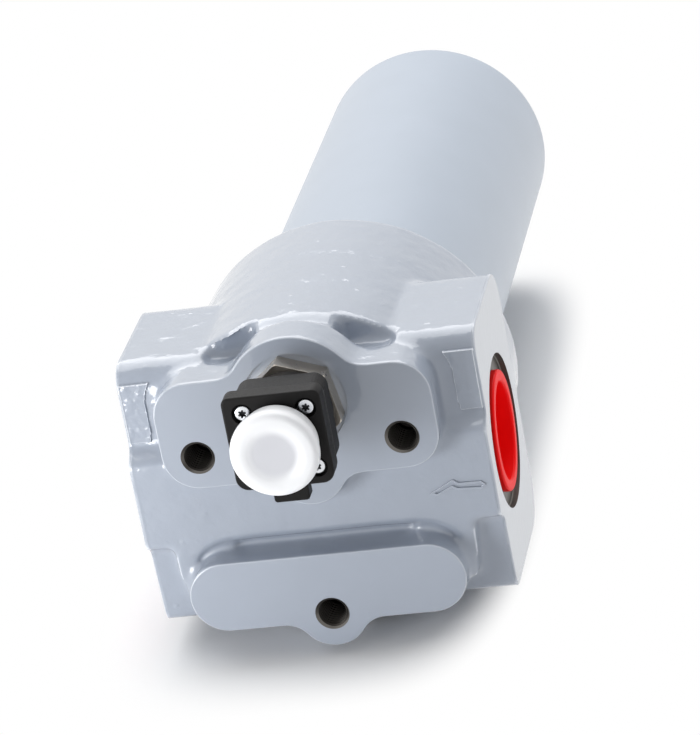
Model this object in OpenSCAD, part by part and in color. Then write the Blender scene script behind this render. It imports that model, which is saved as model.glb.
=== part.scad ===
// High pressure in-line filter, hung by the two bosses on top of its head.
// Frame: Z is the axis of the bowl and points up, X runs from the outlet port to the inlet port,
// and Y points to the side of the head that carries the pressure indicator.
// The origin is where the bowl's axis meets the plane of the mounting bosses, and the bowl hangs below it.

/* [Head block] */
// Width of the head over its two port faces
head_w = 134; // [128:1:150]
// How far the barrel stands out past the block on the indicator's side
top_ledge = 10.95; // [8:0.05:13]
// How far the barrel stands out past the block on the other side
low_ledge = 11.75; // [8:0.05:14]
// Depth of the block's back below the mounting plane
block_back = 83; // [80:1:92]
// Radius of the block's back edges
back_round = 15; // [8:1:20]
// Radius of the block's front edge, beside the upper boss
front_round = 9; // [4:0.5:12]
// Depth of the broad middle face below the mounting plane
main_face = 8.7; // [6:0.1:11]
// Depth of the rough cast band below the mounting plane
band_face = 15.3; // [13:0.1:18]
// Depth of the face below the step, beside the lower boss
low_face = 15; // [12:0.1:18]
// Height at which the rough cast band starts
band_y = 21; // [19:0.5:24]
// Rise of the step between the middle face and the band
band_step = 4.5; // [2:0.5:8]
// Distance of the lower step below the bowl axis
low_step = 17.5; // [15:0.5:20]
// Radius of the barrel that takes the bowl
barrel_r = 63.25; // [61:0.25:66]
// Depth of the barrel's end below the mounting plane
barrel_end = 120.3; // [112:0.1:130]
// Depth of the barrel's front face below the mounting plane
barrel_front = 15; // [12:0.5:20]
// Radius of the barrel's front edge
barrel_round = 12; // [6:1:16]
// How much the barrel narrows at each of its two cast steps
barrel_step = 0.6; // [0.2:0.1:1.5]

/* [Mounting bosses] */
// Half width of the upper boss
boss_half = 51.5; // [49:0.5:55]
// Distance from the block's top to the upper boss
boss_gap = 1.8; // [0.5:0.1:3.5]
// Lower edge of the upper boss
boss_low = 8.8; // [6:0.2:11]
// Corner radius of the upper boss
boss_round = 13; // [8:1:16]
// Radius of the dome round the indicator
dome_r = 25.5; // [23:0.5:28]
// Radius of the lobe below the indicator
lobe_r = 14; // [11:0.5:16]
// Height of the lobe's centre above the bowl axis
lobe_y = 12; // [9:0.5:15]
// Half width of the lower boss
foot_half = 52; // [48:0.5:56]
// Distance of the lower boss's upper edge below the bowl axis
foot_top = 22.3; // [20:0.1:25]
// Height of the lower boss
foot_h = 27.4; // [24:0.2:30]
// Radius of the bump round the lower mounting hole
bump_r = 13.2; // [11:0.2:15]
// Radius of the hollow corners between a round and a straight edge
blend_r = 10; // [6:1:14]

/* [Mounting holes] */
// Distance between the two upper mounting holes
hole_gap = 76; // [70:0.5:80]
// Height of the upper mounting holes above the bowl axis
hole_y = 21.1; // [21:0.1:26]
// Distance of the lower mounting hole below the bowl axis
low_hole_y = 46.3; // [43:0.1:49]
// Core radius of the mounting holes' thread
tap_r = 5.1; // [4:0.05:5.5]
// Depth of the mounting holes
tap_depth = 20; // [12:1:22]
// Width of the chamfer at the mounting holes' mouths
tap_chamfer = 1.3; // [0.5:0.1:2]

/* [Ports] */
// Depth of the port axis below the mounting plane
port_z = 45.1; // [43:0.1:48]
// Core radius of the ports' thread
port_r = 19.5; // [17:0.1:20]
// Length of the ports' thread
port_len = 24; // [20:1:27]
// Radius of the machined spot face round each port
spot_r = 28.9; // [26:0.1:30]
// Depth of the machined spot face
spot_sink = 2.5; // [1:0.1:3.5]
// Radius of the passages behind the threads
passage_r = 15; // [12:0.5:15.5]
// Distance of the inlet passage's inner end from the bowl axis
inlet_stop = 24; // [20:1:26]

/* [Bowl] */
// Outer radius of the bowl
bowl_r = 48.25; // [48:0.05:52]
// Thickness of the bowl's wall
bowl_wall = 7.75; // [6.5:0.05:9]
// Length of the bowl below the barrel
bowl_len = 241.2; // [200:1:400]
// Thickness of the bowl's closed end
bowl_floor = 12; // [9:0.5:18]
// Radius of the outer edge at the closed end
bowl_edge = 4; // [2:0.5:8]
// Radius of the inner edge at the closed end
floor_round = 8; // [4:1:14]
// Step from the bowl's outside in to its screwed neck
neck_step = 1.25; // [0.5:0.05:1.8]
// Length of the bowl's screwed neck
neck_len = 27; // [20:1:28]
// Step from the screwed neck in to the sealing land
land_step = 1.5; // [1:0.1:2]
// Length of the sealing land
land_len = 14; // [12:0.5:15]
// Thickness of the bowl's sealing ring
ring_d = 3; // [2.4:0.1:3.4]
// Thickness of the back-up ring beside it
backup_t = 1.4; // [1:0.1:2]

/* [Filter element] */
// Depth of the head's inner ceiling below the mounting plane
ceiling = 72; // [70:0.5:74]
// Outer radius of the spigot that the element fits on
spigot_r = 17.2; // [16:0.1:18]
// Thickness of the spigot's wall
spigot_wall = 4.2; // [3:0.1:5]
// Length of the spigot below the ceiling
spigot_len = 32; // [28:1:36]
// Distance from the ceiling down to the element
element_drop = 18; // [17:0.5:22]
// Outer radius of the element's end caps
element_r = 35.5; // [33:0.5:37]
// Thickness of the end caps
cap_t = 3; // [2:0.5:5]
// Height of the end caps' rims
cap_rim = 6; // [4:0.5:10]
// Gap between the element and the bowl's floor
element_gap = 14; // [6:1:30]
// Number of pleats
pleats = 52; // [30:1:64]
// Depth of the pleats
pleat_depth = 9; // [6:0.5:9.5]
// Thickness of the pleated sheet, with its support mesh
sheet_t = 0.7; // [0.4:0.1:0.9]
// Wall of the perforated core tube
core_wall = 0.8; // [0.6:0.1:1.2]
// Radius of the core tube's holes
core_hole_r = 3; // [2:0.25:3.5]

/* [Bypass valve] */
// Distance of the bypass valve from the bowl axis
bypass_x = 28.5; // [28:0.25:29.5]
// Radius of the valve seat's body
seat_r = 9; // [8.5:0.1:9.5]
// Thickness of the valve seat's flange
seat_flange = 2; // [1:0.25:2.5]
// Radius of the valve's stem
stem_r = 2; // [1.5:0.1:2.4]
// Thickness of the valve's disc
disc_t = 3; // [2:0.25:4]
// Length of the fitted valve spring
bypass_spring_h = 11; // [9:0.5:11.5]

/* [Pressure indicator] */
// Sideways offset of the indicator from the bowl axis
ind_x = 1.5; // [-3:0.5:3]
// Distance from the upper boss's upper edge to the indicator's axis
ind_drop = 11.7; // [10.5:0.1:13.5]
// Width of the hexagon across its flats
hex_af = 32; // [28:1:32]
// Height of the hexagon above its spot face
hex_h = 8; // [6:0.5:10]
// Turn of the hexagon about its axis
hex_turn = 40; // [0:5:55]
// Radius of the indicator's screwed stem
shank_r = 9.9; // [9:0.1:11]
// Length of the indicator's screwed stem
shank_len = 22.8; // [21:0.1:24]
// Radius of the piston's bore
piston_r = 4.6; // [4:0.1:5]
// Depth of the spot face round the hexagon
seat_sink = 1.2; // [0.6:0.1:2]

/* [Switch housing] */
// Radius of the housing's round neck
neck_tube_r = 15.5; // [13:0.5:16]
// Height of the housing's round neck
neck_tube_h = 6; // [4:0.5:9]
// Side of the housing's square block
block_side = 33; // [32:0.5:35]
// Height of the housing's square block
block_h = 12; // [10:0.5:16]
// Thickness of the gasket under the connector
gasket_t = 1; // [0.6:0.1:1.6]
// Width of the connector's flange
flange_w = 38; // [36:0.5:42]
// Height of the connector's flange
flange_h = 36; // [35.5:0.5:42]
// Thickness of the connector's flange
flange_t = 7.5; // [6:0.25:10]
// Distance between neighbouring flange screws
screw_gap = 23.2; // [22.8:0.1:25]
// Radius of the screws' heads
screw_head_r = 3.4; // [2.8:0.1:3.6]
// Radius of the connector's collar
collar_r = 12.2; // [11:0.1:12.3]
// Length of the connector's collar
collar_h = 10; // [8:0.5:12]
// Width of the locking tab below the flange
tab_w = 13; // [8:0.5:18]
// Length of the locking tab below the flange
tab_drop = 6.5; // [3:0.5:9]

/* [Protective cap and plugs] */
// Outer radius of the protective cap
cover_r = 16; // [15.6:0.1:17]
// Wall of the protective cap
cover_wall = 1.4; // [1:0.1:2]
// Thickness of the protective cap's front
cover_front = 3.3; // [2.2:0.1:4]
// Radius of the hollow in the cap's front
dimple_r = 8.5; // [6:0.1:10]
// Outer radius of the port plugs' rims
plug_rim_r = 22.7; // [21:0.1:25]
// Thickness of the port plugs' rims
plug_rim_t = 2.9; // [2:0.1:4]
// Length of the plugs inside the ports
plug_len = 19; // [12:0.5:19.5]
// Wall of the plugs
plug_wall = 1.1; // [1:0.1:2.5]

/* [Hidden] */
$fn = 96;
// Overshoot of a cut past the face it opens
over = 1;
// Radial clearance of screwed and sliding fits
fit = 0.06;
// Clearance of parts that pass each other without touching
loose = 0.3;

paint = "#a9b2bf";
steel = "#8c8a86";
black_plastic = "#3c3a3c";

half_w = head_w / 2;
block_top = barrel_r - top_ledge;
block_low = barrel_r - low_ledge;
boss_top = block_top - boss_gap;
ind_y = boss_top - ind_drop;
foot_low = foot_top + foot_h;
foot_round = foot_h / 2;
boss_root = max(band_face, low_face, barrel_front) + 3;

// Levels along the bowl, all below the mounting plane
neck_r = bowl_r - neck_step;
land_r = neck_r - land_step;
neck_top = barrel_end - neck_len;
land_top = neck_top - land_len;
bowl_bore = bowl_r - bowl_wall;
bowl_end = barrel_end + bowl_len;
chamber_r = land_r - 3.5;
// The groove of the bowl's sealing ring, in the middle of the land
ring_squeeze = 0.4;
ring_depth = ring_d - ring_squeeze;
groove_w = ring_d + backup_t + loose;
groove_low = neck_top - (land_len - groove_w) / 2;
groove_r = land_r - ring_depth;

// Levels and radii of the filter element
spigot_bore = spigot_r - spigot_wall;
element_top = ceiling + element_drop;
element_end = bowl_end - bowl_floor - element_gap;
spigot_fit = 0.15;
rim_wall = 1.2;
hub_wall = 4;
hub_r = spigot_r + spigot_fit + hub_wall;
core_in = hub_r + 1;
core_out = core_in + core_wall;
pleat_out = element_r - rim_wall - loose;
pleat_in = pleat_out - pleat_depth;
hub_len = spigot_len - element_drop - 2;
element_ring_d = 2.4;
element_groove_w = 3.2;
element_groove_mid = element_top + hub_len / 2;

// The bypass valve stands in the wall between the inlet chamber and the outlet port
outlet_floor = port_z + passage_r + 1;
disc_r = seat_r - 1;
bypass_flow_r = 1.9;
bypass_flow_pitch = disc_r - bypass_flow_r - 0.8;
retainer_t = 2;
retainer_top = ceiling + seat_flange + bypass_spring_h;
bypass_wire = 0.9;

// The pressure indicator, above its spot face in the upper boss
hex_r = hex_af / 2 / cos(30);
spot_hex_r = hex_r + 0.7;
hex_top = hex_h - seat_sink;
shank_end = seat_sink + shank_len;
snap_t = 0.9;
snap_z = shank_end - 1.2;
piston_low = snap_z - snap_t - 0.05;
piston_h = 13;
magnet_r = 2.9;
magnet_h = 4;
piston_top = piston_low - piston_h;
bore_top = hex_top - 3.5;
drill_r = 2.5;
bleed_z = seat_sink + 4.3;
tenon_r = 8.5;
tenon_top = hex_top + 5;
block_z = hex_top + neck_tube_h;
gasket_z = block_z + block_h;
flange_z = gasket_z + gasket_t;
face_z = flange_z + flange_t;
collar_top = face_z + collar_h;
collar_wall = 2;
screw_sink = 2.4;
screw_shank_r = 1.5;
// How deep the screws reach into the housing
screw_grip = 7;
// The connector's four pins
pin_r = 0.8;
pin_pitch = 5;
insert_h = 4;
socket_z = flange_z + 3;
cover_z = face_z + 1;
cover_in = collar_top + 0.1;
cover_top = cover_in + cover_front;
cover_round = 3;
dimple = 0.8;
// Band inside the cap that grips the collar
grip_z = 1.5;
grip_h = 2;
tab_t = 6;

// The port plugs, seen along the port axis
seat_x = half_w - spot_sink;
plug_r = port_r - fit;

// Outlines and small shapes

// Rectangle with round corners, centred
module round_rect(w, h, r) {
    square([w - 2 * r, h], center = true);
    square([w, h - 2 * r], center = true);
    for (x = [-1, 1], y = [-1, 1])
        translate([x * (w / 2 - r), y * (h / 2 - r)]) circle(r);
}

// Flat plate with round corners, standing on the plane z = 0
module plate(w, h, t, r) {
    linear_extrude(t) round_rect(w, h, r);
}

// Hollow corners where a round of radius r at c stands out of the straight edge y = edge;
// side is 1 where the round stands out upwards and -1 where it stands out downwards
module blends(c, r, edge, f, side) {
    yc = edge + side * f;
    dx = sqrt(pow(r + f, 2) - pow(yc - c[1], 2));
    for (s = [-1, 1]) {
        hollow = [c[0] + s * dx, yc];
        touch = c + (hollow - c) * r / (r + f);
        difference() {
            polygon([[c[0], edge], [hollow[0], edge], hollow, touch]);
            translate(hollow) circle(f);
        }
    }
}

// What a round edge of radius r takes off a square corner that points to +x and +y
module corner_waste(r) {
    difference() {
        square(r + over);
        circle(r);
    }
}

// Disc or ring, from depth low up to depth high below the mounting plane
module ring(r_out, r_in, low, high) {
    translate([0, 0, -low]) difference() {
        cylinder(r = r_out, h = low - high);
        if (r_in > 0) translate([0, 0, -over]) cylinder(r = r_in, h = low - high + 2 * over);
    }
}

// Shapes that lie along the port axis, from x = from to x = to
module along_x(r, from, to) {
    translate([from, 0, -port_z]) rotate([0, 90, 0]) cylinder(r = r, h = to - from);
}

module at_indicator() {
    translate([ind_x, ind_y, 0]) children();
}

module at_bypass() {
    translate([-bypass_x, 0, 0]) children();
}

// Helical spring of round wire, wound about the z axis from z = 0 to z = h
module coil(r, wire, h, turns) {
    steps = 14;
    count = turns * steps;
    sides = 7;
    rise = (h - wire) / turns;
    function ring_point(i, j) = let(
        a = 360 * i / steps,
        b = 360 * j / sides,
        q = r + wire / 2 * cos(b)
    ) [q * cos(a), q * sin(a), wire / 2 + rise * i / steps + wire / 2 * sin(b)];
    points = [for (i = [0:count], j = [0:sides - 1]) ring_point(i, j)];
    walls = [for (i = [0:count - 1], j = [0:sides - 1]) let(k = (j + 1) % sides)
        [i * sides + j, i * sides + k, (i + 1) * sides + k, (i + 1) * sides + j]];
    start = [[for (j = [0:sides - 1]) sides - 1 - j]];
    end = [[for (j = [0:sides - 1]) count * sides + j]];
    polyhedron(points, concat(walls, start, end), convexity = 10);
}

// Head

module block_profile() {
    difference() {
        polygon([
            [-block_low, -block_back],
            [block_top, -block_back],
            [block_top, -band_face],
            [band_y, -band_face],
            [band_y - band_step, -main_face],
            [-low_step, -main_face],
            [-low_step - 3, -low_face + 1],
            [-block_low, -low_face - 1.5]
        ]);
        translate([block_top - front_round, -band_face - front_round]) corner_waste(front_round);
        translate([block_top - back_round, -block_back + back_round])
            mirror([0, 1]) corner_waste(back_round);
        translate([-block_low + back_round, -block_back + back_round])
            rotate(180) corner_waste(back_round);
    }
}

module barrel() {
    front_r = barrel_r - 2 * barrel_step;
    waist = (block_back + barrel_front) / 2 + 8;
    rotate_extrude() {
        translate([0, -barrel_end]) square([barrel_r, barrel_end - block_back]);
        translate([0, -barrel_end]) square([barrel_r - barrel_step, barrel_end - waist]);
        translate([0, -barrel_end]) square([front_r, barrel_end - barrel_front - barrel_round]);
        translate([0, -barrel_end]) square([front_r - barrel_round, barrel_end - barrel_front]);
        intersection() {
            translate([front_r - barrel_round, -barrel_front - barrel_round]) circle(barrel_round);
            translate([0, -barrel_end]) square([barrel_r, barrel_end]);
        }
    }
}

module upper_boss_outline() {
    translate([0, (boss_top + boss_low) / 2]) round_rect(2 * boss_half, boss_top - boss_low, boss_round);
    translate([ind_x, ind_y]) circle(dome_r);
    translate([ind_x, lobe_y]) circle(lobe_r);
    blends([ind_x, ind_y], dome_r, boss_top, blend_r, 1);
    blends([ind_x, lobe_y], lobe_r, boss_low, blend_r, -1);
}

module lower_boss_outline() {
    translate([0, -foot_top - foot_round]) square([2 * (foot_half - foot_round), foot_h], center = true);
    for (x = [-1, 1]) translate([x * (foot_half - foot_round), -foot_top - foot_round]) circle(foot_round);
    translate([0, -low_hole_y]) circle(bump_r);
    blends([0, -low_hole_y], bump_r, -foot_low, blend_r, -1);
}

module mounting_hole() {
    translate([0, 0, -tap_depth]) cylinder(r = tap_r, h = tap_depth + over);
    translate([0, 0, -tap_depth - tap_r / 2]) cylinder(r1 = 0, r2 = tap_r, h = tap_r / 2);
    translate([0, 0, -tap_chamfer])
        cylinder(r1 = tap_r, r2 = tap_r + tap_chamfer + over, h = tap_chamfer + over);
}

module mounting_holes() {
    for (x = [-1, 1]) translate([x * hole_gap / 2, hole_y, 0]) mounting_hole();
    translate([0, -low_hole_y, 0]) mounting_hole();
}

module port_cut(inner_end) {
    along_x(spot_r, seat_x, half_w + over);
    along_x(port_r, seat_x - port_len, half_w);
    along_x(passage_r, inner_end, half_w - over);
}

// Everything that is drilled or turned out of the head below its ceiling
module bowl_seat() {
    ring(neck_r + fit, 0, barrel_end + over, neck_top - over);
    ring(land_r + fit, 0, barrel_end, land_top - over);
    difference() {
        ring(chamber_r, 0, barrel_end, ceiling);
        ring(spigot_r, 0, ceiling + spigot_len, ceiling - over);
    }
    ring(spigot_bore, 0, barrel_end, port_z);
}

module bypass_cut() {
    at_bypass() {
        ring(seat_r + fit, 0, ceiling + over, outlet_floor - over);
        ring(seat_r + 1.5, 0, outlet_floor, port_z);
    }
    translate([inlet_stop + 7, 0, 0]) ring(8, 0, ceiling + over, port_z);
}

// Seat of the indicator and the two drillings that bring the inlet and outlet pressure to it
module indicator_seat() {
    bore_end = shank_end + 2;
    at_indicator() {
        ring(spot_hex_r, 0, seat_sink, -over);
        ring(shank_r + 2.8, 0, seat_sink + 2, -over);
        ring(shank_r + fit, 0, bore_end, -over);
    }
    drill([ind_x, ind_y, -bore_end + over], [inlet_stop + 8, 0, -port_z]);
    drill([ind_x - shank_r, ind_y, -bleed_z], [-inlet_stop - 6, 0, -port_z]);
}

// Straight drilling from point a to point b
module drill(a, b) {
    d = b - a;
    l = norm(d);
    translate(a) rotate([0, acos(d[2] / l), atan2(d[1], d[0])]) cylinder(r = drill_r, h = l);
}

// Raised arrow that shows the way of the flow
module flow_arrow() {
    l = 19;
    head_l = 7.5;
    head_h = 2.8;
    shaft_h = 1.4;
    line = 0.9;
    margin = 7;
    translate([half_w - margin - l, -low_step + 10.8, -main_face - 0.1]) linear_extrude(0.8)
        difference() {
            arrow_outline(l, head_l, head_h, shaft_h);
            translate([2.4 * line, 0])
                arrow_outline(l - 3.4 * line, head_l - 3.4 * line, head_h - 1.4 * line, shaft_h - line);
        }
}

// Arrow that points to -x, from its tip; h and s are half its head's height and half its shaft's
module arrow_outline(l, head, h, s) {
    polygon([[0, 0], [head, -h], [head, -s], [l, -s], [l, s], [head, s], [head, h]]);
}

module head_casting() {
    color(paint) difference() {
        union() {
            rotate([90, 0, 90]) linear_extrude(head_w, center = true) block_profile();
            barrel();
            translate([0, 0, -boss_root]) linear_extrude(boss_root) upper_boss_outline();
            translate([0, 0, -boss_root]) linear_extrude(boss_root) lower_boss_outline();
            flow_arrow();
        }
        mounting_holes();
        port_cut(inlet_stop);
        mirror([1, 0, 0]) port_cut(-spigot_bore / 2);
        bowl_seat();
        bypass_cut();
        indicator_seat();
    }
}

// Bowl and its seals

module bowl() {
    color(paint) rotate_extrude() difference() {
        union() {
            translate([0, -bowl_end + bowl_edge]) square([bowl_r, bowl_len - bowl_edge]);
            translate([0, -bowl_end]) square([bowl_r - bowl_edge, bowl_len]);
            translate([bowl_r - bowl_edge, -bowl_end + bowl_edge]) circle(bowl_edge);
            translate([0, -barrel_end - over]) square([neck_r, neck_len + over]);
            translate([0, -barrel_end - over]) square([land_r, neck_len + land_len + over]);
        }
        translate([0, -bowl_end + bowl_floor]) difference() {
            square([bowl_bore, bowl_end]);
            translate([bowl_bore - floor_round, floor_round]) mirror([0, 1]) corner_waste(floor_round);
        }
        translate([groove_r, -groove_low]) square([ring_d + over, groove_w]);
    }
}

module bowl_o_ring() {
    r = (ring_depth - 0.02) / 2;
    color("#222222") rotate_extrude()
        translate([groove_r + r, -groove_low + backup_t + ring_d / 2]) circle(r, $fn = 32);
}

module bowl_backup_ring() {
    color("ivory") ring(land_r - 0.05, groove_r + 0.05, groove_low - 0.05, groove_low - backup_t);
}

// Filter element

module element_top_cap() {
    color("silver") difference() {
        union() {
            ring(element_r, 0, element_top + cap_t, element_top);
            ring(element_r, element_r - rim_wall, element_top + cap_t + cap_rim, element_top);
            ring(hub_r, 0, element_top + hub_len, element_top);
        }
        ring(spigot_r + spigot_fit, 0, element_top + hub_len + over, element_top - over);
        ring(spigot_r + element_ring_d, 0,
            element_groove_mid + element_groove_w / 2, element_groove_mid - element_groove_w / 2);
    }
}

module element_o_ring() {
    color("#222222") rotate_extrude()
        translate([spigot_r + element_ring_d / 2, -element_groove_mid])
            circle(element_ring_d / 2 - 0.02, $fn = 32);
}

// One solid of a pleated sheet: two zigzags a sheet's thickness apart
module element_pleats() {
    slope = sheet_t * 1.6;
    function zigzag(crest, root) = [for (i = [0:2 * pleats - 1])
        let(a = 180 * i / pleats, r = i % 2 == 0 ? crest : root) [r * cos(a), r * sin(a)]];
    low = element_end - cap_t;
    color("white") translate([0, 0, -low]) linear_extrude(low - element_top - cap_t) difference() {
        polygon(zigzag(pleat_out, pleat_in + slope));
        polygon(zigzag(pleat_out - slope, pleat_in));
    }
}

module element_core_tube() {
    rows = 9;
    low = element_end - cap_t;
    high = element_top + cap_t;
    color("silver") difference() {
        ring(core_out, core_in, low, high);
        for (i = [1:rows], a = [0:60:300])
            rotate(a + 30 * (i % 2)) translate([core_in - over, 0, -high - i * (low - high) / (rows + 1)])
                rotate([0, 90, 0]) cylinder(r = core_hole_r, h = core_wall + 3 * over, $fn = 24);
    }
}

module element_bottom_cap() {
    color("silver") {
        ring(element_r, 0, element_end, element_end - cap_t);
        ring(element_r, element_r - rim_wall, element_end, element_end - cap_t - cap_rim);
        for (a = [90, 210, 330]) rotate(a)
            translate([element_r - 2, -4, -element_end]) cube([bowl_bore - loose - element_r + 2, 8, cap_t]);
    }
}

// Bypass valve

module bypass_seat() {
    color("#b08d57") at_bypass() difference() {
        union() {
            ring(seat_r, 0, ceiling + over, outlet_floor);
            ring(seat_r + 1.7, 0, ceiling + seat_flange, ceiling);
        }
        ring(stem_r + fit, 0, ceiling + seat_flange + over, outlet_floor - over);
        for (a = [45:90:315]) rotate(a) translate([bypass_flow_pitch, 0, 0])
            ring(bypass_flow_r, 0, ceiling + seat_flange + over, outlet_floor - over);
    }
}

module bypass_poppet() {
    color(steel) at_bypass() {
        ring(disc_r, 0, outlet_floor, outlet_floor - disc_t);
        ring(stem_r, 0, retainer_top + retainer_t, outlet_floor - over);
    }
}

module bypass_spring() {
    color("silver") at_bypass() translate([0, 0, -retainer_top])
        coil(stem_r + 1.6, bypass_wire, bypass_spring_h, 5);
}

module bypass_retainer() {
    color(steel) at_bypass() ring(stem_r + 3, stem_r, retainer_top + retainer_t, retainer_top);
}

// Pressure indicator

module indicator_body() {
    color(steel) at_indicator() difference() {
        union() {
            intersection() {
                translate([0, 0, -seat_sink]) rotate(hex_turn) cylinder(r = hex_r, h = hex_h, $fn = 6);
                translate([0, 0, hex_top - hex_r]) cylinder(r1 = 1.65 * hex_r, r2 = 0.93 * hex_r, h = hex_r);
            }
            ring(shank_r, 0, shank_end, 0);
            translate([0, 0, hex_top - over]) cylinder(r = tenon_r, h = tenon_top - hex_top + over);
        }
        ring(piston_r, 0, shank_end + over, -bore_top);
        ring(piston_r + 0.6, 0, snap_z, snap_z - snap_t);
        translate([0, 0, -bleed_z]) rotate([0, -90, 0]) cylinder(r = 1.5, h = shank_r + over, $fn = 24);
    }
}

module indicator_seal() {
    color("#222222") at_indicator() rotate_extrude()
        translate([shank_r + 1.45, -seat_sink - 1]) circle(0.96, $fn = 32);
}

module indicator_piston() {
    color("#b08d57") at_indicator() difference() {
        ring(piston_r - 0.05, 0, piston_low, piston_top);
        ring(magnet_r, 0, piston_top + magnet_h, piston_top - over);
        translate([0, 0, -piston_low + 3]) rotate_extrude() translate([piston_r - 0.5, 0]) square([1, 1]);
    }
}

module indicator_magnet() {
    color("gray") at_indicator() ring(magnet_r - 0.03, 0, piston_top + magnet_h, piston_top);
}

module indicator_spring() {
    color("silver") at_indicator() translate([0, 0, -piston_top])
        coil(piston_r - 0.75, 0.6, piston_top + bore_top, 6);
}

module indicator_snap_ring() {
    color(steel) at_indicator() difference() {
        ring(piston_r + 0.55, piston_r - 1, snap_z - 0.02, snap_z - snap_t + 0.02);
        rotate(-90) translate([0, -0.8, -snap_z]) cube([piston_r + 1, 1.6, 2]);
    }
}

// Switch housing and connector

module reed_switch() {
    color("#7fa08c") at_indicator() {
        translate([0, 0, tenon_top + loose]) cylinder(r = 1.5, h = 9, $fn = 32);
        for (x = [-0.7, 0.7]) translate([x, 0, tenon_top + 9]) cylinder(r = 0.3, h = 3, $fn = 16);
    }
}

module switch_housing() {
    color(black_plastic) at_indicator() difference() {
        union() {
            translate([0, 0, hex_top]) cylinder(r = neck_tube_r, h = neck_tube_h);
            translate([0, 0, block_z]) plate(block_side, block_side, block_h, 5);
        }
        translate([0, 0, hex_top - over]) cylinder(r = tenon_r + fit, h = tenon_top - hex_top + over + loose);
        translate([0, 0, hex_top]) cylinder(r = 3.2, h = gasket_z - hex_top + over);
        screw_places() translate([0, 0, gasket_z - screw_grip - over])
            cylinder(r = screw_shank_r + fit, h = screw_grip + 2 * over, $fn = 32);
    }
}

module screw_places() {
    for (x = [-1, 1], y = [-1, 1]) translate([x * screw_gap / 2, y * screw_gap / 2, 0]) children();
}

module housing_gasket() {
    color("#222222") at_indicator() translate([0, 0, gasket_z]) difference() {
        plate(block_side + 1.5, block_side + 1.5, gasket_t, 4);
        translate([0, 0, -over]) cylinder(r = 9, h = gasket_t + 2 * over);
        screw_places() translate([0, 0, -over])
            cylinder(r = screw_shank_r + loose, h = gasket_t + 2 * over, $fn = 32);
    }
}

module connector_flange() {
    color(black_plastic) at_indicator() difference() {
        union() {
            translate([0, 0, flange_z]) plate(flange_w, flange_h, flange_t, 3);
            translate([0, 0, face_z - over]) cylinder(r = collar_r, h = collar_h + over);
            translate([-tab_w / 2, -flange_h / 2 - tab_drop, flange_z])
                cube([tab_w, tab_drop + over, tab_t]);
        }
        translate([0, 0, socket_z]) cylinder(r = collar_r - collar_wall, h = flange_t + collar_h);
        at_pins() translate([0, 0, flange_z - over]) cylinder(r = pin_r + fit, h = 6, $fn = 24);
        screw_places() {
            translate([0, 0, face_z - screw_sink])
                cylinder(r = screw_head_r + 0.6, h = screw_sink + over, $fn = 48);
            translate([0, 0, flange_z - over])
                cylinder(r = screw_shank_r + loose, h = flange_t + over, $fn = 32);
        }
    }
}

module at_pins() {
    for (a = [45:90:315]) rotate(a) translate([pin_pitch, 0, 0]) children();
}

module connector_insert() {
    color("#2b2b2d") at_indicator() difference() {
        translate([0, 0, socket_z]) cylinder(r = collar_r - collar_wall - 0.05, h = insert_h);
        at_pins() translate([0, 0, socket_z - over])
            cylinder(r = pin_r + fit, h = insert_h + 2 * over, $fn = 24);
    }
}

module connector_pins() {
    color("#c9a44a") at_indicator() at_pins()
        translate([0, 0, flange_z]) cylinder(r = pin_r, h = flange_t + collar_h - insert_h, $fn = 24);
}

module flange_screws() {
    head_top = face_z - 0.4;
    slot_l = screw_head_r;
    slot_w = 0.8;
    color("silver") at_indicator() screw_places() difference() {
        union() {
            translate([0, 0, face_z - screw_sink])
                cylinder(r = screw_head_r, h = head_top - face_z + screw_sink, $fn = 48);
            translate([0, 0, gasket_z - screw_grip])
                cylinder(r = screw_shank_r, h = face_z - screw_sink - gasket_z + screw_grip + over / 2);
        }
        for (a = [0, 90]) rotate(a)
            translate([-slot_l / 2, -slot_w / 2, head_top - 1.1]) cube([slot_l, slot_w, 1.1 + over]);
    }
}

module protective_cap() {
    color([0.95, 0.95, 0.97, 0.85]) at_indicator() rotate_extrude() difference() {
        union() {
            translate([0, cover_z]) square([cover_r, cover_top - cover_z - cover_round]);
            translate([0, cover_z]) square([cover_r - cover_round, cover_top - cover_z]);
            translate([cover_r - cover_round, cover_top - cover_round]) circle(cover_round);
        }
        translate([0, cover_z - over]) square([collar_r + 0.1, cover_in - cover_z + over]);
        translate([0, cover_z - over]) square([cover_r - cover_wall, over + grip_z]);
        translate([0, cover_z + grip_z + grip_h])
            square([cover_r - cover_wall, cover_in - cover_z - grip_z - grip_h]);
        translate([0, cover_top - dimple]) square([dimple_r, dimple + over]);
    }
}

// Port plugs

module port_plug() {
    rim_x = seat_x + plug_rim_t;
    difference() {
        union() {
            along_x(plug_rim_r, seat_x, rim_x);
            along_x(plug_r, seat_x - plug_len, seat_x + over);
        }
        along_x(plug_r - plug_wall, seat_x - plug_len + plug_wall, rim_x + over);
    }
}

module inlet_plug() {
    color("red") port_plug();
}

module outlet_plug() {
    color("red") mirror([1, 0, 0]) port_plug();
}

head_casting();
bowl();
bowl_o_ring();
bowl_backup_ring();
element_top_cap();
element_pleats();
element_core_tube();
element_bottom_cap();
element_o_ring();
bypass_seat();
bypass_poppet();
bypass_spring();
bypass_retainer();
indicator_body();
indicator_seal();
indicator_piston();
indicator_magnet();
indicator_spring();
indicator_snap_ring();
reed_switch();
switch_housing();
housing_gasket();
connector_flange();
connector_insert();
connector_pins();
flange_screws();
protective_cap();
inlet_plug();
outlet_plug();
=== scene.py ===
"""Looks of a high pressure in-line filter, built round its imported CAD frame.

The part hangs by the bosses on top of its head: Z is the axis of the bowl and points up, +X comes out of
the inlet port, and +Y is the side of the pressure indicator. Sizes are in millimetres until a piece is
finished; the finished meshes are in metres, like the frame.
"""

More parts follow.
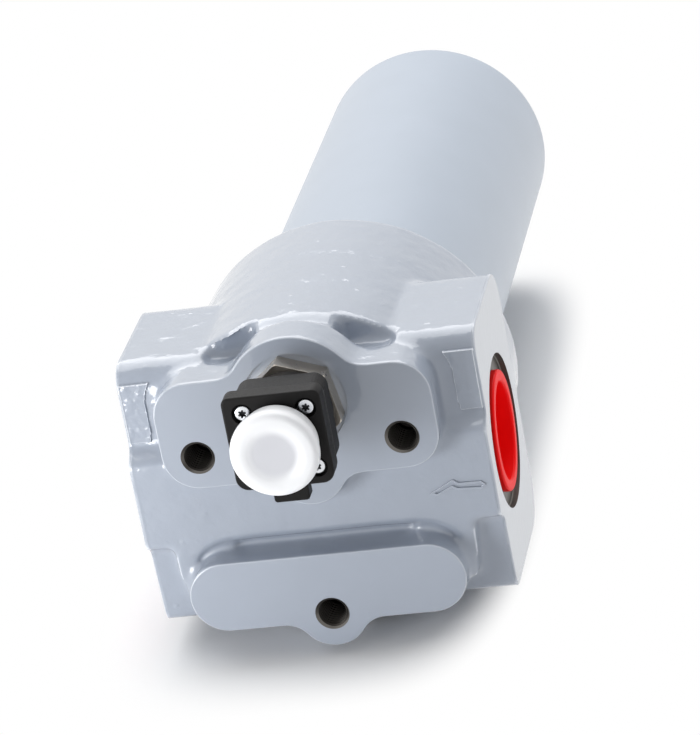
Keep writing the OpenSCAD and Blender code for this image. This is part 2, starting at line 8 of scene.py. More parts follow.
import logging
import math
from collections.abc import Sequence
from dataclasses import dataclass
from enum import Enum
from functools import cache

import bmesh
import bpy
import numpy as np
from mathutils import Euler, Matrix, Vector, noise


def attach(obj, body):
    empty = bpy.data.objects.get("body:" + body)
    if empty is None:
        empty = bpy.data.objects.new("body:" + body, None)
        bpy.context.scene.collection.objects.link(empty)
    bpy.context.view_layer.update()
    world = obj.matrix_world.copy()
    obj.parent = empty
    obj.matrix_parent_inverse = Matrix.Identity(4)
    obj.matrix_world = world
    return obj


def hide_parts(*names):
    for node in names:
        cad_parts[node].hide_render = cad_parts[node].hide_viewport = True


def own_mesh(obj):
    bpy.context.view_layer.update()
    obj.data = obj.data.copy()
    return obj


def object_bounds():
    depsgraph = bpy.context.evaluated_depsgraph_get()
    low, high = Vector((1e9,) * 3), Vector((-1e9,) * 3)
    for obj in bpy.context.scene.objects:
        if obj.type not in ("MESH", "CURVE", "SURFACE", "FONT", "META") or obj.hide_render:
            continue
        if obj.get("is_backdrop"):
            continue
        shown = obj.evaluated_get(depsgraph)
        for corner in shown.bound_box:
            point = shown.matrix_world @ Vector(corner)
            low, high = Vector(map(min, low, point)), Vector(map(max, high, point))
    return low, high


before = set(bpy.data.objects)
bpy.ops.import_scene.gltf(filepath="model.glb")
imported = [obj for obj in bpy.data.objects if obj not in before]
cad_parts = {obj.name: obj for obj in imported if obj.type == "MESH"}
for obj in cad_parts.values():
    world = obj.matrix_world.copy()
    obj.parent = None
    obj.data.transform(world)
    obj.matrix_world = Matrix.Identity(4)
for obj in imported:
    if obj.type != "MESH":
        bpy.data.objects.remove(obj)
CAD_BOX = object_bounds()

log = logging.getLogger("filter")

MM = 0.001
Point = tuple[float, float]
Corner = tuple[float, float, float]
Outline = Sequence[Point | Corner]
Tree = bpy.types.NodeTree
Socket = bpy.types.NodeSocket

# The axis of the pressure indicator, and the level of the ports' axis
INDICATOR = (1.5, 38.8)
PORT_Z = -45.1
# From local axes, in which outlines are drawn and pushed or turned, to the part's
ALONG_Z = Matrix.Identity(4)
ALONG_X = Matrix(((0, 0, 1, 0), (1, 0, 0, 0), (0, 1, 0, 0), (0, 0, 0, 1)))
ROUND_X = Matrix.Translation((0, 0, PORT_Z)) @ Matrix.Rotation(math.pi / 2, 4, "Y")
# Clearance of the turned fits, and how far a cutter reaches past a face
FIT = 0.06
OVER = 1.0
# Half the side of a cutter that is larger than the part
FAR = 300.0
# A face larger than this, in square millimetres, keeps its own flat shading up to its rim
FLAT_AREA = 4.0
# Inward and upward steps of a quarter round, as shares of its radius
QUARTER_ROUND = ((0.134, 0.5), (0.366, 0.366), (0.5, 0.134))
# Face-corner attribute that carries the painted highlight on the casting's sharp convex edges
PAINTED_HIGHLIGHT_LAYER = "edge"
# Most values of a noise lie in this span
CLOUD_SPAN = (0.3, 0.7)


class Skin(Enum):
    """Material slots of a piece that is painted outside, bare where it is turned, and where it is tapped, oily iron
    made near black as painted shade inside the holes.
    """

    OUTER = 0
    BARE = 1
    TAPPED = 2


# Shapes


def corner_face(bm: bmesh.types.BMesh, corners: Outline) -> bmesh.types.BMFace:
    """Adds a flat face in the XY plane and rounds its corners.

    Args:
        bm: the mesh that gets the face.
        corners: x, y and, for a round corner, its radius, in order.

    Returns:
        The face, with an arc at each rounded corner.
    """
    verts = [bm.verts.new((x, y, 0)) for x, y, *_ in corners]
    bm.faces.new(verts)
    radii = [corner[2] if len(corner) > 2 else 0.0 for corner in corners]
    for radius in sorted(set(radii) - {0.0}):
        chosen = [v for v, r in zip(verts, radii) if r == radius]
        bmesh.ops.bevel(
            bm, geom=chosen, offset=radius, offset_type="OFFSET", segments=8, profile=0.5,
            affect="VERTICES", material=-1,
        )
    return max(bm.faces, key=lambda face: face.calc_area())


def drawn_in(corners: Outline, gap: float) -> list[Point]:
    """Draws a closed outline in by an even gap, with sharp corners.

    Args:
        corners: the outline, in counter-clockwise order.
        gap: distance between the two outlines.

    Returns:
        The corners of the inner outline.
    """
    places = [Vector(corner[:2]) for corner in corners]
    made = []
    for i, place in enumerate(places):
        before = (place - places[i - 1]).normalized()
        after = (places[(i + 1) % len(places)] - place).normalized()
        first, second = Vector((-before.y, before.x)), Vector((-after.y, after.x))
        made.append(tuple(place + (first + second) * gap / (1 + first.dot(second))))
    return made


def around(centre: Point, radius: float, count: int, start: float) -> list[Point]:
    """Returns places evenly spaced on a circle, the first one at an angle in degrees."""
    angles = [math.radians(360 / count * i + start) for i in range(count)]
    return [(centre[0] + radius * math.cos(a), centre[1] + radius * math.sin(a)) for a in angles]


def column(items: bpy.types.bpy_prop_collection, field: str, width: int = 1, kind: type = float) -> np.ndarray:
    """Reads one field of every vertex, edge, loop or face of a mesh.

    Args:
        items: the mesh's collection.
        field: name of the field.
        width: number of its values.
        kind: type of its values.

    Returns:
        A row for each item, or a flat array where the field has one value.
    """
    values = np.empty(len(items) * width, dtype=kind)
    items.foreach_get(field, values)
    return values.reshape(-1, width) if width > 1 else values


class Solid:
    """A closed working shape in millimetres, which other shapes are joined to and cut out of.

    In its makers, at is the place of the axis or centre, skin the material slot of all faces, and frame_
    turns the local axes to the part's.
    """

    def __init__(self, bm: bmesh.types.BMesh, skin: Skin = Skin.OUTER) -> None:
        """Takes a finished bmesh over.

        Args:
            bm: the shape; it is freed here.
            skin: the material slot of all its faces.
        """
        bmesh.ops.remove_doubles(bm, verts=bm.verts, dist=2e-3)
        bmesh.ops.recalc_face_normals(bm, faces=bm.faces)
        if any(not edge.is_manifold for edge in bm.edges):
            raise ValueError("a working shape isn't closed")
        for face in bm.faces:
            face.material_index = skin.value
        mesh = bpy.data.meshes.new("solid")
        bm.to_mesh(mesh)
        bm.free()
        for _ in Skin:
            mesh.materials.append(None)
        self.obj = bpy.data.objects.new("solid", mesh)
        bpy.context.scene.collection.objects.link(self.obj)

    @classmethod
    def rod(
        cls, radius: float, low: float, high: float, at: Point = (0, 0), skin: Skin = Skin.OUTER, segments: int = 96
    ) -> "Solid":
        """Makes a cylinder between two levels, with a number of sides."""
        bm = bmesh.new()
        bmesh.ops.create_cone(
            bm, cap_ends=True, segments=segments, radius1=radius, radius2=radius, depth=high - low,
            matrix=Matrix.Translation((*at, (low + high) / 2)),
        )
        return cls(bm, skin)

    @classmethod
    def rods(cls, places: Sequence[Point], radius: float, low: float, high: float, **more: object) -> list["Solid"]:
        """Makes one cylinder at each place; more goes to rod()."""
        return [cls.rod(radius, low, high, place, **more) for place in places]

    @classmethod
    def prism(cls, corners: Outline, low: float, high: float, frame_: Matrix = ALONG_Z) -> "Solid":
        """Pushes an outline from one level to another.

        Args:
            corners: the outline.
            low: lower level.
            high: higher level.
            frame_: see the class.

        Returns:
            The solid.
        """
        bm = bmesh.new()
        face = corner_face(bm, corners)
        pushed = bmesh.ops.extrude_face_region(bm, geom=[face])
        moved = [v for v in pushed["geom"] if isinstance(v, bmesh.types.BMVert)]
        bmesh.ops.translate(bm, verts=moved, vec=(0, 0, high - low))
        bmesh.ops.translate(bm, verts=bm.verts, vec=(0, 0, low))
        bmesh.ops.transform(bm, verts=bm.verts, matrix=frame_)
        return cls(bm)

    @classmethod
    def plate(
        cls, width: float, height: float, radius: float, low: float, high: float, at: Point = (0, 0)
    ) -> "Solid":
        """Makes a flat plate with rounded corners.

        Args:
            width: size along X.
            height: size along Y.
            radius: radius of its corners.
            low: lower level.
            high: higher level.
            at: see the class.

        Returns:
            The solid.
        """
        x, y = width / 2, height / 2
        corners = [(at[0] + a, at[1] + b, radius) for a, b in ((-x, -y), (x, -y), (x, y), (-x, y))]
        return cls.prism(corners, low, high)

    @classmethod
    def spun(
        cls, corners: Outline, at: Point = (0, 0), steps: int = 128, skin: Skin = Skin.OUTER,
        frame_: Matrix = ALONG_Z,
    ) -> "Solid":
        """Turns a profile round the Z axis.

        Args:
            corners: the closed profile, as radius and level.
            at: see the class.
            steps: sides of the round.
            skin: see the class.
            frame_: see the class.

        Returns:
            The solid.
        """
        bm = bmesh.new()
        face = corner_face(bm, corners)
        bmesh.ops.delete(bm, geom=[face], context="FACES_ONLY")
        on_axis = [e for e in bm.edges if all(abs(v.co.x) < 1e-6 for v in e.verts)]
        bmesh.ops.delete(bm, geom=on_axis, context="EDGES")
        bmesh.ops.rotate(bm, verts=bm.verts, cent=(0, 0, 0), matrix=Matrix.Rotation(math.pi / 2, 3, "X"))
        bmesh.ops.spin(
            bm, geom=bm.verts[:] + bm.edges[:], cent=(0, 0, 0), axis=(0, 0, 1), angle=2 * math.pi,
            steps=steps, use_merge=True, use_duplicate=False,
        )
        bmesh.ops.translate(bm, verts=bm.verts, vec=(*at, 0))
        bmesh.ops.transform(bm, verts=bm.verts, matrix=frame_)
        return cls(bm, skin)

    @classmethod
    def wound(
        cls, section: Sequence[Point], rise: float, turns: float, start: float, at: Point = (0, 0),
        skin: Skin = Skin.OUTER, steps: int = 36, frame_: Matrix = ALONG_Z,
    ) -> "Solid":
        """Winds a section round the Z axis like a screw.

        Args:
            section: radius and height of each of its corners.
            rise: rise in one turn.
            turns: number of turns, to the nearest step.
            start: level of its first section.
            at: see the class.
            skin: see the class.
            steps: sections in a turn.
            frame_: see the class.

        Returns:
            The solid, closed by a section at each end.
        """
        bm = bmesh.new()
        face = bm.faces.new([bm.verts.new((r, 0, z)) for r, z in section])
        bmesh.ops.duplicate(bm, geom=[face])
        count = round(turns * steps)
        bmesh.ops.spin(
            bm, geom=[face, *face.edges], cent=(0, 0, 0), axis=(0, 0, 1), dvec=(0, 0, rise / steps),
            angle=2 * math.pi * count / steps, steps=count, use_merge=False, use_duplicate=False,
        )
        bmesh.ops.translate(bm, verts=bm.verts, vec=(*at, start))
        bmesh.ops.transform(bm, verts=bm.verts, matrix=frame_)
        return cls(bm, skin)

    @classmethod
    def thread(
        cls, inner: float, outer: float, pitch: float, low: float, high: float, **more: object
    ) -> "Solid":
        """Makes the ridge of a thread, to be joined to a rod or to a cutter.

        Args:
            inner: radius of the ridge's root.
            outer: radius of its crest.
            pitch: rise in one turn.
            low: level where it starts.
            high: level where it ends.
            more: what wound() takes besides.

        Returns:
            The ridge as a closed solid, whose root reaches a little into the rod.
        """
        root, half, crest = inner - 0.3, pitch * 0.44, pitch * 0.06
        section = ((root, -half), (root, half), (outer, crest), (outer, -crest))
        return cls.wound(section, pitch, (high - low) / pitch - 1, low + pitch / 2, **more)

    def _settle(self) -> None:
        """Makes the modifiers' result the mesh."""
        graph = bpy.context.evaluated_depsgraph_get()
        mesh = bpy.data.meshes.new_from_object(self.obj.evaluated_get(graph))
        self.obj.modifiers.clear()
        old, self.obj.data = self.obj.data, mesh
        bpy.data.meshes.remove(old)

    def _combine(self, others: Sequence["Solid"], operation: str) -> "Solid":
        """Runs one boolean after another, removes the tools and returns this solid."""
        for other in others:
            boolean = self.obj.modifiers.new("boolean", "BOOLEAN")
            boolean.operation, boolean.solver, boolean.object = operation, "MANIFOLD", other.obj
            self._settle()
            other.discard()
        return self

    def add(self, *others: "Solid") -> "Solid":
        """Joins other solids to this one and returns it."""
        return self._combine(others, "UNION")

    def cut(self, *others: "Solid") -> "Solid":
        """Cuts other solids out of this one and returns it."""
        return self._combine(others, "DIFFERENCE")

    def common(self, *others: "Solid") -> "Solid":
        """Keeps what this solid shares with the others and returns it."""
        return self._combine(others, "INTERSECT")

    def mirrored(self) -> "Solid":
        """Returns a copy mirrored to the other side of X = 0."""
        bm = bmesh.new()
        bm.from_mesh(self.obj.data)
        bmesh.ops.scale(bm, verts=bm.verts, vec=(-1, 1, 1))
        bmesh.ops.reverse_faces(bm, faces=bm.faces)
        return Solid(bm, Skin(bm.faces[:][0].material_index))

    def discard(self) -> None:
        """Removes the solid."""
        mesh = self.obj.data
        bpy.data.objects.remove(self.obj)
        bpy.data.meshes.remove(mesh)

    def remesh(self, voxel: float) -> "Solid":
        """Turns the shape into an even skin of small quads, which rounds as a casting does."""
        skin = self.obj.modifiers.new("skin", "REMESH")
        skin.mode, skin.voxel_size = "VOXEL", voxel
        self._settle()
        for _ in Skin:
            self.obj.data.materials.append(None)
        return self

    def smooth(self, rounds: int, chosen: np.ndarray | None = None) -> "Solid":
        """Rounds the shape off by smoothing its vertices.

        Args:
            rounds: how many times the smoothing runs.
            chosen: the vertices that may move, or None for all.

        Returns:
            This solid.
        """
        soft = self.obj.modifiers.new("soft", "SMOOTH")
        soft.factor, soft.iterations = 0.5, rounds
        if chosen is not None:
            group = self.obj.vertex_groups.new(name="soft")
            group.add(np.flatnonzero(chosen).tolist(), 1.0, "REPLACE")
            soft.vertex_group = "soft"
        self._settle()
        self.obj.vertex_groups.clear()
        return self

    def round_edges(self, width: float, segments: int = 2) -> "Solid":
        """Bevels every edge that turns by more than 30 degrees.

        Args:
            width: width of the bevel.
            segments: faces across it.

        Returns:
            This solid.
        """
        bm = bmesh.new()
        bm.from_mesh(self.obj.data)
        bmesh.ops.remove_doubles(bm, verts=bm.verts, dist=1e-4)
        bmesh.ops.dissolve_limit(
            bm, angle_limit=math.radians(0.2), verts=bm.verts, edges=bm.edges, delimit={"MATERIAL"}
        )
        sharp = [e for e in bm.edges if e.is_manifold and e.calc_face_angle() > math.radians(30)]
        bmesh.ops.bevel(
            bm, geom=sharp, offset=width, offset_type="OFFSET", segments=segments, profile=0.5,
            affect="EDGES", clamp_overlap=True, material=-1,
        )
        bm.to_mesh(self.obj.data)
        bm.free()
        return self

    def face_off(self, axis: Vector, level: float, edge: float) -> "Solid":
        """Machines a flat face square to an axis and leaves a rounded rim round it.

        Args:
            axis: the way the face looks.
            level: distance of the face from the origin.
            edge: radius of the rim.

        Returns:
            This solid.
        """
        turn = axis.to_track_quat("Z", "Y").to_matrix().to_4x4()
        block = [(-FAR, -FAR), (FAR, -FAR), (FAR, FAR), (-FAR, FAR)]
        self.cut(Solid.prism(block, level - edge, level + 5, turn))
        bm = bmesh.new()
        bm.from_mesh(self.obj.data)
        bmesh.ops.remove_doubles(bm, verts=bm.verts, dist=0.04)
        flat = [
            f for f in bm.faces
            if f.normal.dot(axis) > 0.9999 and abs(f.calc_center_median().dot(axis) - level + edge) < 1e-3
        ]
        for inwards, upwards in QUARTER_ROUND:
            bmesh.ops.inset_region(
                bm, faces=flat, thickness=inwards * edge, depth=upwards * edge, use_even_offset=True
            )
        bm.to_mesh(self.obj.data)
        bm.free()
        return self

    def places(self) -> np.ndarray:
        """Returns the vertices' places, one row each."""
        return column(self.obj.data.vertices, "co", 3)

    def normals(self) -> np.ndarray:
        """Returns the vertices' normals, one row each."""
        return column(self.obj.data.vertex_normals, "vector", 3)

    def piece(self, name: str, body: str, node: str, slot: str, *looks: "Look", crease: float = 35) -> bpy.types.Object:
        """Finishes the solid as a piece of the model, in metres.

        Args:
            name: name of the piece.
            body: the CAD body it rides on.
            node: the CAD node it stands for.
            slot: the record's material slot of its finish; not used.
            looks: finish of the outer skin, and of the bare and the tapped one where they differ.
            crease: angle in degrees past which an edge stays sharp.

        Returns:
            The piece.
        """
        mesh = self.obj.data
        mesh.transform(Matrix.Scale(MM, 4))
        mesh.shade_smooth()
        mesh.set_sharp_from_angle(angle=math.radians(crease))
        bm = bmesh.new()
        bm.from_mesh(mesh)
        for edge in bm.edges:
            if edge.is_manifold and edge.calc_face_angle() > math.radians(2):
                if max(f.calc_area() for f in edge.link_faces) > FLAT_AREA * MM * MM:
                    edge.smooth = False
        bm.to_mesh(mesh)
        bm.free()
        # Taking the empty slots away resets the faces' slots, so they are kept and set again
        skins = column(mesh.polygons, "material_index", kind=np.int32)
        mesh.materials.clear()
        for look in looks:
            mesh.materials.append(look.material())
        mesh.polygons.foreach_set("material_index", np.minimum(skins, len(looks) - 1))
        mesh.validate()
        self.obj.name = mesh.name = name
        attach(self.obj, body)
        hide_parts(node)
        mesh.calc_loop_triangles()
        log.info("%s: %d triangles", name, len(mesh.loop_triangles))
        return self.obj


# Finishes


def linear(colour: str) -> tuple[float, float, float, float]:
    """Turns an sRGB hex colour into the linear values that a shader takes.

    Args:
        colour: six hex digits after a hash.

    Returns:
        Red, green, blue and an alpha of one.
    """
    parts = [int(colour[i : i + 2], 16) / 255 for i in (1, 3, 5)]
    values = [p / 12.92 if p <= 0.04045 else ((p + 0.055) / 1.055) ** 2.4 for p in parts]
    return (values[0], values[1], values[2], 1.0)


def per_mm(size: float) -> float:
    """Returns the pattern scale that repeats once in a size in millimetres."""
    return 1 / (size * MM)


def add_node(
    tree: Tree, kind: str, inputs: dict[str | int, object] | None = None, **settings: object
) -> bpy.types.Node:
    """Adds a node with its settings and links.

    Args:
        tree: the node tree.
        kind: the node's type without its ShaderNode prefix.
        inputs: for each input, the socket it is linked from or its value.
        settings: properties of the node.

    Returns:
        The node.
    """
    new = tree.nodes.new("ShaderNode" + kind)
    for key, value in settings.items():
        setattr(new, key, value)
    for key, value in (inputs or {}).items():
        if isinstance(value, Socket):
            tree.links.new(value, new.inputs[key])
        else:
            new.inputs[key].default_value = value
    return new


def emptied(owner: bpy.types.Material | bpy.types.World) -> Tree:
    """Returns the emptied node tree of a material or a world."""
    owner.use_nodes = True
    owner.node_tree.nodes.clear()
    return owner.node_tree


def calc(tree: Tree, operation: str, *values: Socket | float) -> Socket:
    """Returns the outcome of a Math node on one, two or three values."""
    return add_node(tree, "Math", dict(enumerate(values)), operation=operation).outputs[0]


def cloud(tree: Tree, place: Socket, size: float, detail: float, roughness: float = 0.5) -> Socket:
    """Returns a noise from 0 to 1 with clouds of a size in millimetres."""
    inputs = {"Vector": place, "Scale": per_mm(size), "Detail": detail, "Roughness": roughness}
    return add_node(tree, "TexNoise", inputs).outputs["Fac"]


def ramp(tree: Tree, value: Socket, span: Point, ends: Point = (0.0, 1.0), smooth: bool = False) -> Socket:
    """Returns a value carried over from one span to another one's ends, where it stays."""
    inputs = {"Value": value, 1: span[0], 2: span[1], 3: ends[0], 4: ends[1]}
    return add_node(tree, "MapRange", inputs, interpolation_type="SMOOTHSTEP" if smooth else "LINEAR").outputs[0]


def mixed(tree: Tree, share: Socket, first: object, second: object) -> Socket:
    """Returns the mix of two colours, which is the second where the share is 1."""
    return add_node(tree, "Mix", {0: share, 6: first, 7: second}, data_type="RGBA").outputs[2]


@dataclass(frozen=True)
class Finish:
    """A plain finish: one colour with a slight drift, and an even gloss. Its subclasses add the pattern.

    Sizes and depths of patterns are in millimetres.
    """

    name: str
    colour: str
    roughness: float
    metallic: float = 0.0
    ior: float = 1.5
    coat: float = 0.0
    coat_roughness: float = 0.05
    subsurface: float = 0.0
    subsurface_depth: float = 2.5
    specular: float = 0.5
    transmission: float = 0.0
    drift: float = 0.04
    drift_size: float = 25.0

    def material(self) -> bpy.types.Material:
        """Builds the material with its whole node tree."""
        made = bpy.data.materials.new(self.name)
        tree = emptied(made)
        values = {
            "Roughness": self.roughness, "Metallic": self.metallic, "Specular IOR Level": self.specular,
            "Transmission Weight": self.transmission, "Coat Weight": self.coat,
            "Coat Roughness": self.coat_roughness,
        }
        if not self.metallic:
            values["IOR"] = self.ior
        if self.subsurface:
            values["Subsurface Weight"] = self.subsurface
            values["Subsurface Radius"] = (1.0, 1.0, 1.0)
            values["Subsurface Scale"] = self.subsurface_depth * MM
        shader = add_node(tree, "BsdfPrincipled", values)
        place = add_node(tree, "TexCoord").outputs["Object"]
        tree.links.new(self.tint(tree, place), shader.inputs["Base Color"])
        self.surface(tree, place, shader)
        add_node(tree, "OutputMaterial", {"Surface": shader.outputs[0]})
        return made

    def tint(self, tree: Tree, place: Socket) -> Socket:
        """Builds the colour, which drifts a little over the surface.

        Args:
            tree: the node tree.
            place: Object coordinates.

        Returns:
            The colour's socket.
        """
        base = linear(self.colour)[:3]
        dark = (*(c * (1 - self.drift) for c in base), 1.0)
        light = (*(min(1.0, c * (1 + self.drift)) for c in base), 1.0)
        return mixed(tree, cloud(tree, place, self.drift_size, 3.0), dark, light)

    def surface(self, tree: Tree, place: Socket, shader: bpy.types.Node) -> None:
        """Adds the pattern of the surface; a plain finish has none.

        Args:
            tree: the node tree.
            place: Object coordinates.
            shader: the shader node, which takes roughness and normal.
        """

    def vary(self, tree: Tree, shader: bpy.types.Node, pattern: Socket, spread: float) -> None:
        """Lets the gloss follow the middle of a pattern, by a spread to each side."""
        ends = (self.roughness - spread, self.roughness + spread)
        tree.links.new(ramp(tree, pattern, CLOUD_SPAN, ends), shader.inputs["Roughness"])

    @staticmethod
    def bump(
        tree: Tree, shader: bpy.types.Node, height: Socket, depth: float, sockets: Sequence[str] = ("Normal",)
    ) -> None:
        """Gives the shader a relief.

        Args:
            tree: the node tree.
            shader: the shader node.
            height: the relief, from 0 to 1.
            depth: real depth of the relief in millimetres.
            sockets: the shader's normals that follow it.
        """
        relief = add_node(tree, "Bump", {"Height": height, "Distance": depth * MM, "Strength": 1.0})
        for name in sockets:
            tree.links.new(relief.outputs[0], shader.inputs[name])


@dataclass(frozen=True)
class CastEnamel(Finish):
    """Thick gloss enamel over a sand casting: it runs smooth over the machined faces, and over the cast
    ones it follows the sand's lumps and pimples, so that highlights break up there."""

    peel_size: float = 3.0
    peel_share: float = 0.12
    lump_size: float = 5.5
    pimple_gap: float = 9.0
    pimple_reach: float = 0.16
    pimple_share: float = 0.35
    relief: float = 0.3
    smooth_above: float = -1.0
    cast_below: float = -3.5
    port_face: float = 66.4
    # Near-white colour and share of the painted highlight on sharp convex edges
    painted_highlight_colour: str = "#e9edf3"
    painted_highlight_share: float = 0.9

    def tint(self, tree: Tree, place: Socket) -> Socket:
        """Builds the colour, with a painted highlight: near white along the casting's sharp convex edges."""
        plain = super().tint(tree, place)
        # Painted highlight: the edge attribute mixes the colour toward near white
        edge = add_node(tree, "Attribute", attribute_name=PAINTED_HIGHLIGHT_LAYER).outputs["Fac"]
        return mixed(tree, calc(tree, "MULTIPLY", edge, self.painted_highlight_share), plain, linear(self.painted_highlight_colour))

    def surface(self, tree: Tree, place: Socket, shader: bpy.types.Node) -> None:
        """Adds orange peel all over, and lumps and pimples off the machined faces."""
        peel = cloud(tree, place, self.peel_size, 2.0, 0.4)
        lumps = cloud(tree, place, self.lump_size, 3.0, 0.45)
        cell = add_node(tree, "TexVoronoi", {"Vector": place, "Scale": per_mm(self.pimple_gap), "Randomness": 1.0})
        pimple = ramp(tree, cell.outputs["Distance"], (0.0, self.pimple_reach), (1.0, 0.0), True)
        axes = add_node(tree, "SeparateXYZ", {0: place}).outputs
        low = ramp(tree, axes["Z"], (self.smooth_above * MM, self.cast_below * MM))
        side = calc(tree, "ABSOLUTE", axes["X"])
        inner = ramp(tree, side, ((self.port_face - 0.5) * MM, self.port_face * MM), (1.0, 0.0))
        rough = calc(tree, "MULTIPLY_ADD", pimple, self.pimple_share, lumps)
        rough = calc(tree, "MULTIPLY", rough, calc(tree, "MULTIPLY", low, inner))
        height = calc(tree, "MULTIPLY_ADD", peel, self.peel_share, rough)
        self.bump(tree, shader, height, self.relief, ("Normal", "Coat Normal"))


@dataclass(frozen=True)
class TubeEnamel(Finish):
    """Satin enamel sprayed on a drawn tube: a fine even orange peel, with long faint waves from drawing."""

    peel_size: float = 1.6
    peel_share: float = 0.06
    wave_size: float = 14.0
    stretch: float = 9.0
    relief: float = 0.12

    def surface(self, tree: Tree, place: Socket, shader: bpy.types.Node) -> None:
        """Adds the peel and the long waves."""
        peel = cloud(tree, place, self.peel_size, 2.0)
        drawn = add_node(tree, "Mapping", {"Vector": place, "Scale": (1.0, 1.0, 1 / self.stretch)}).outputs[0]
        wave = cloud(tree, drawn, self.wave_size, 1.0)
        height = calc(tree, "MULTIPLY_ADD", peel, self.peel_share, wave)
        self.bump(tree, shader, height, self.relief, ("Normal", "Coat Normal"))


@dataclass(frozen=True)
class Moulded(Finish):
    """Injection moulded plastic: a fine grain from the mould, which spreads the highlights."""

    grain_size: float = 0.5
    grain_depth: float = 0.02
    gloss_spread: float = 0.05

    def surface(self, tree: Tree, place: Socket, shader: bpy.types.Node) -> None:
        """Adds the grain, and a gloss that varies with it."""
        grain = cloud(tree, place, self.grain_size, 3.0)
        self.vary(tree, shader, grain, self.gloss_spread)
        self.bump(tree, shader, grain, self.grain_depth)


@dataclass(frozen=True)
class ShadedMiddleCap(Moulded):
    """Milky moulding of the cap, with painted shade: its thin middle is painted grey for the dark connector seen
    through it.
    """

    thin_r: float = 6.5
    thick_r: float = 10.5
    # Grey of the thin middle: painted shade for the dark connector behind it
    painted_shade_colour: str = "#d3d4d9"

    def tint(self, tree: Tree, place: Socket) -> Socket:
        """Builds the colour, with painted shade: greyer within the thin middle."""
        plain = super().tint(tree, place)
        inputs = {"Vector": place, "Location": (-INDICATOR[0] * MM, -INDICATOR[1] * MM, 0.0), "Scale": (1.0, 1.0, 0.0)}
        centred = add_node(tree, "Mapping", inputs).outputs[0]
        reach = add_node(tree, "VectorMath", {0: centred}, operation="LENGTH").outputs["Value"]
        share = ramp(tree, reach, (self.thin_r * MM, self.thick_r * MM), smooth=True)
        return mixed(tree, share, linear(self.painted_shade_colour), plain)


@dataclass(frozen=True)
class Turned(Finish):
    """Metal turned on a lathe: fine rings round an axis, drawn coarser than the feed so that they show,
    with a gloss that drifts where oil lies."""

    metallic: float = 1.0
    axis_at: Point = (0.0, 0.0)
    along_x: bool = False
    ring_gap: float = 0.35 * 2 * math.pi
    ring_depth: float = 0.012
    oil_size: float = 6.0
    gloss_spread: float = 0.08

    def surface(self, tree: Tree, place: Socket, shader: bpy.types.Node) -> None:
        """Adds the rings and the drift of the gloss."""
        location = (-self.axis_at[0] * MM, -self.axis_at[1] * MM, 0.0)
        centred = add_node(tree, "Mapping", {"Vector": place, "Location": location}).outputs[0]
        # At scale 1 the wave texture turns through 20 radians in each unit of length
        scale = 2 * math.pi * per_mm(self.ring_gap) / 20
        rings = add_node(
            tree, "TexWave", {"Vector": centred, "Scale": scale, "Distortion": 0.4},
            wave_type="RINGS", rings_direction="X" if self.along_x else "Z",
        ).outputs["Fac"]
        self.vary(tree, shader, cloud(tree, place, self.oil_size, 4.0), self.gloss_spread)
        self.bump(tree, shader, rings, self.ring_depth)


class Look(Enum):
    """The finishes of the part."""

    HEAD_PAINT = CastEnamel("gloss_enamel_on_cast_iron", "#9ca4b1", 0.34, coat=1.0, coat_roughness=0.04)
    BOWL_PAINT = TubeEnamel("satin_enamel_on_steel_tube", "#a6b0bd", 0.42, coat=0.5, coat_roughness=0.25)
    BARE_IRON = Turned("machined_cast_iron", "#6e6b67", 0.42, along_x=True)
    # Near-black iron in the tapped holes: oil, and painted shade inside the deep holes
    OILY_AND_SHADED_IRON = Turned("oily_and_shaded_tapped_iron", "#2f2d2b", 0.5)
    BARE_BOWL = Turned("turned_steel_bowl", "#8e8b86", 0.3)
    HEXAGON = Turned("turned_hexagon_steel", "#c4bdb3", 0.34, axis_at=INDICATOR)
    ZINC = Finish("zinc_plated_steel", "#dcdee2", 0.25, metallic=1.0)
    # The screws' drive recesses get a darker zinc finish
    RECESS = Finish("dark_zinc_recess", "#3c3d40", 0.6, metallic=1.0)
    BLACK = Moulded("black_glass_filled_polyamide", "#161515", 0.5, ior=1.53, specular=0.14)
    INSERT = Moulded("black_polyamide_insert", "#2b2b2d", 0.5, ior=1.53)
    GASKET = Moulded("nitrile_gasket", "#232325", 0.6, ior=1.52)
    WHITE = ShadedMiddleCap(
        "natural_polyethylene", "#f3f4f6", 0.36, ior=1.51, subsurface=0.2, transmission=0.1, grain_depth=0.005
    )
    RED = Moulded("red_polyethylene", "#fb0a0c", 0.45, ior=1.51, specular=0.12, grain_depth=0.005)
    BRASS = Turned("turned_brass", "#b8935a", 0.28)
    STEEL = Turned("turned_steel", "#8f8c88", 0.3)
    SPRING = Finish("drawn_spring_wire", "#7f8084", 0.3, metallic=1.0)
    RUBBER = Moulded("nitrile_rubber", "#1d1d1f", 0.55, ior=1.52)
    IVORY = Moulded("ivory_fluoroplastic", "#ddd5bd", 0.45, ior=1.36)
    FLEECE = Moulded("glass_fibre_fleece", "#e6e2d6", 0.9, grain_size=0.4, grain_depth=0.08)
    MAGNET = Finish("sintered_magnet", "#55565a", 0.4, metallic=1.0)
    GLASS = Finish("green_tube_glass", "#7fa08c", 0.08, ior=1.52)

    @cache
    def material(self) -> bpy.types.Material:
        """Returns its material, which is built at its first use."""
        return self.value.material()


# The pressure indicator


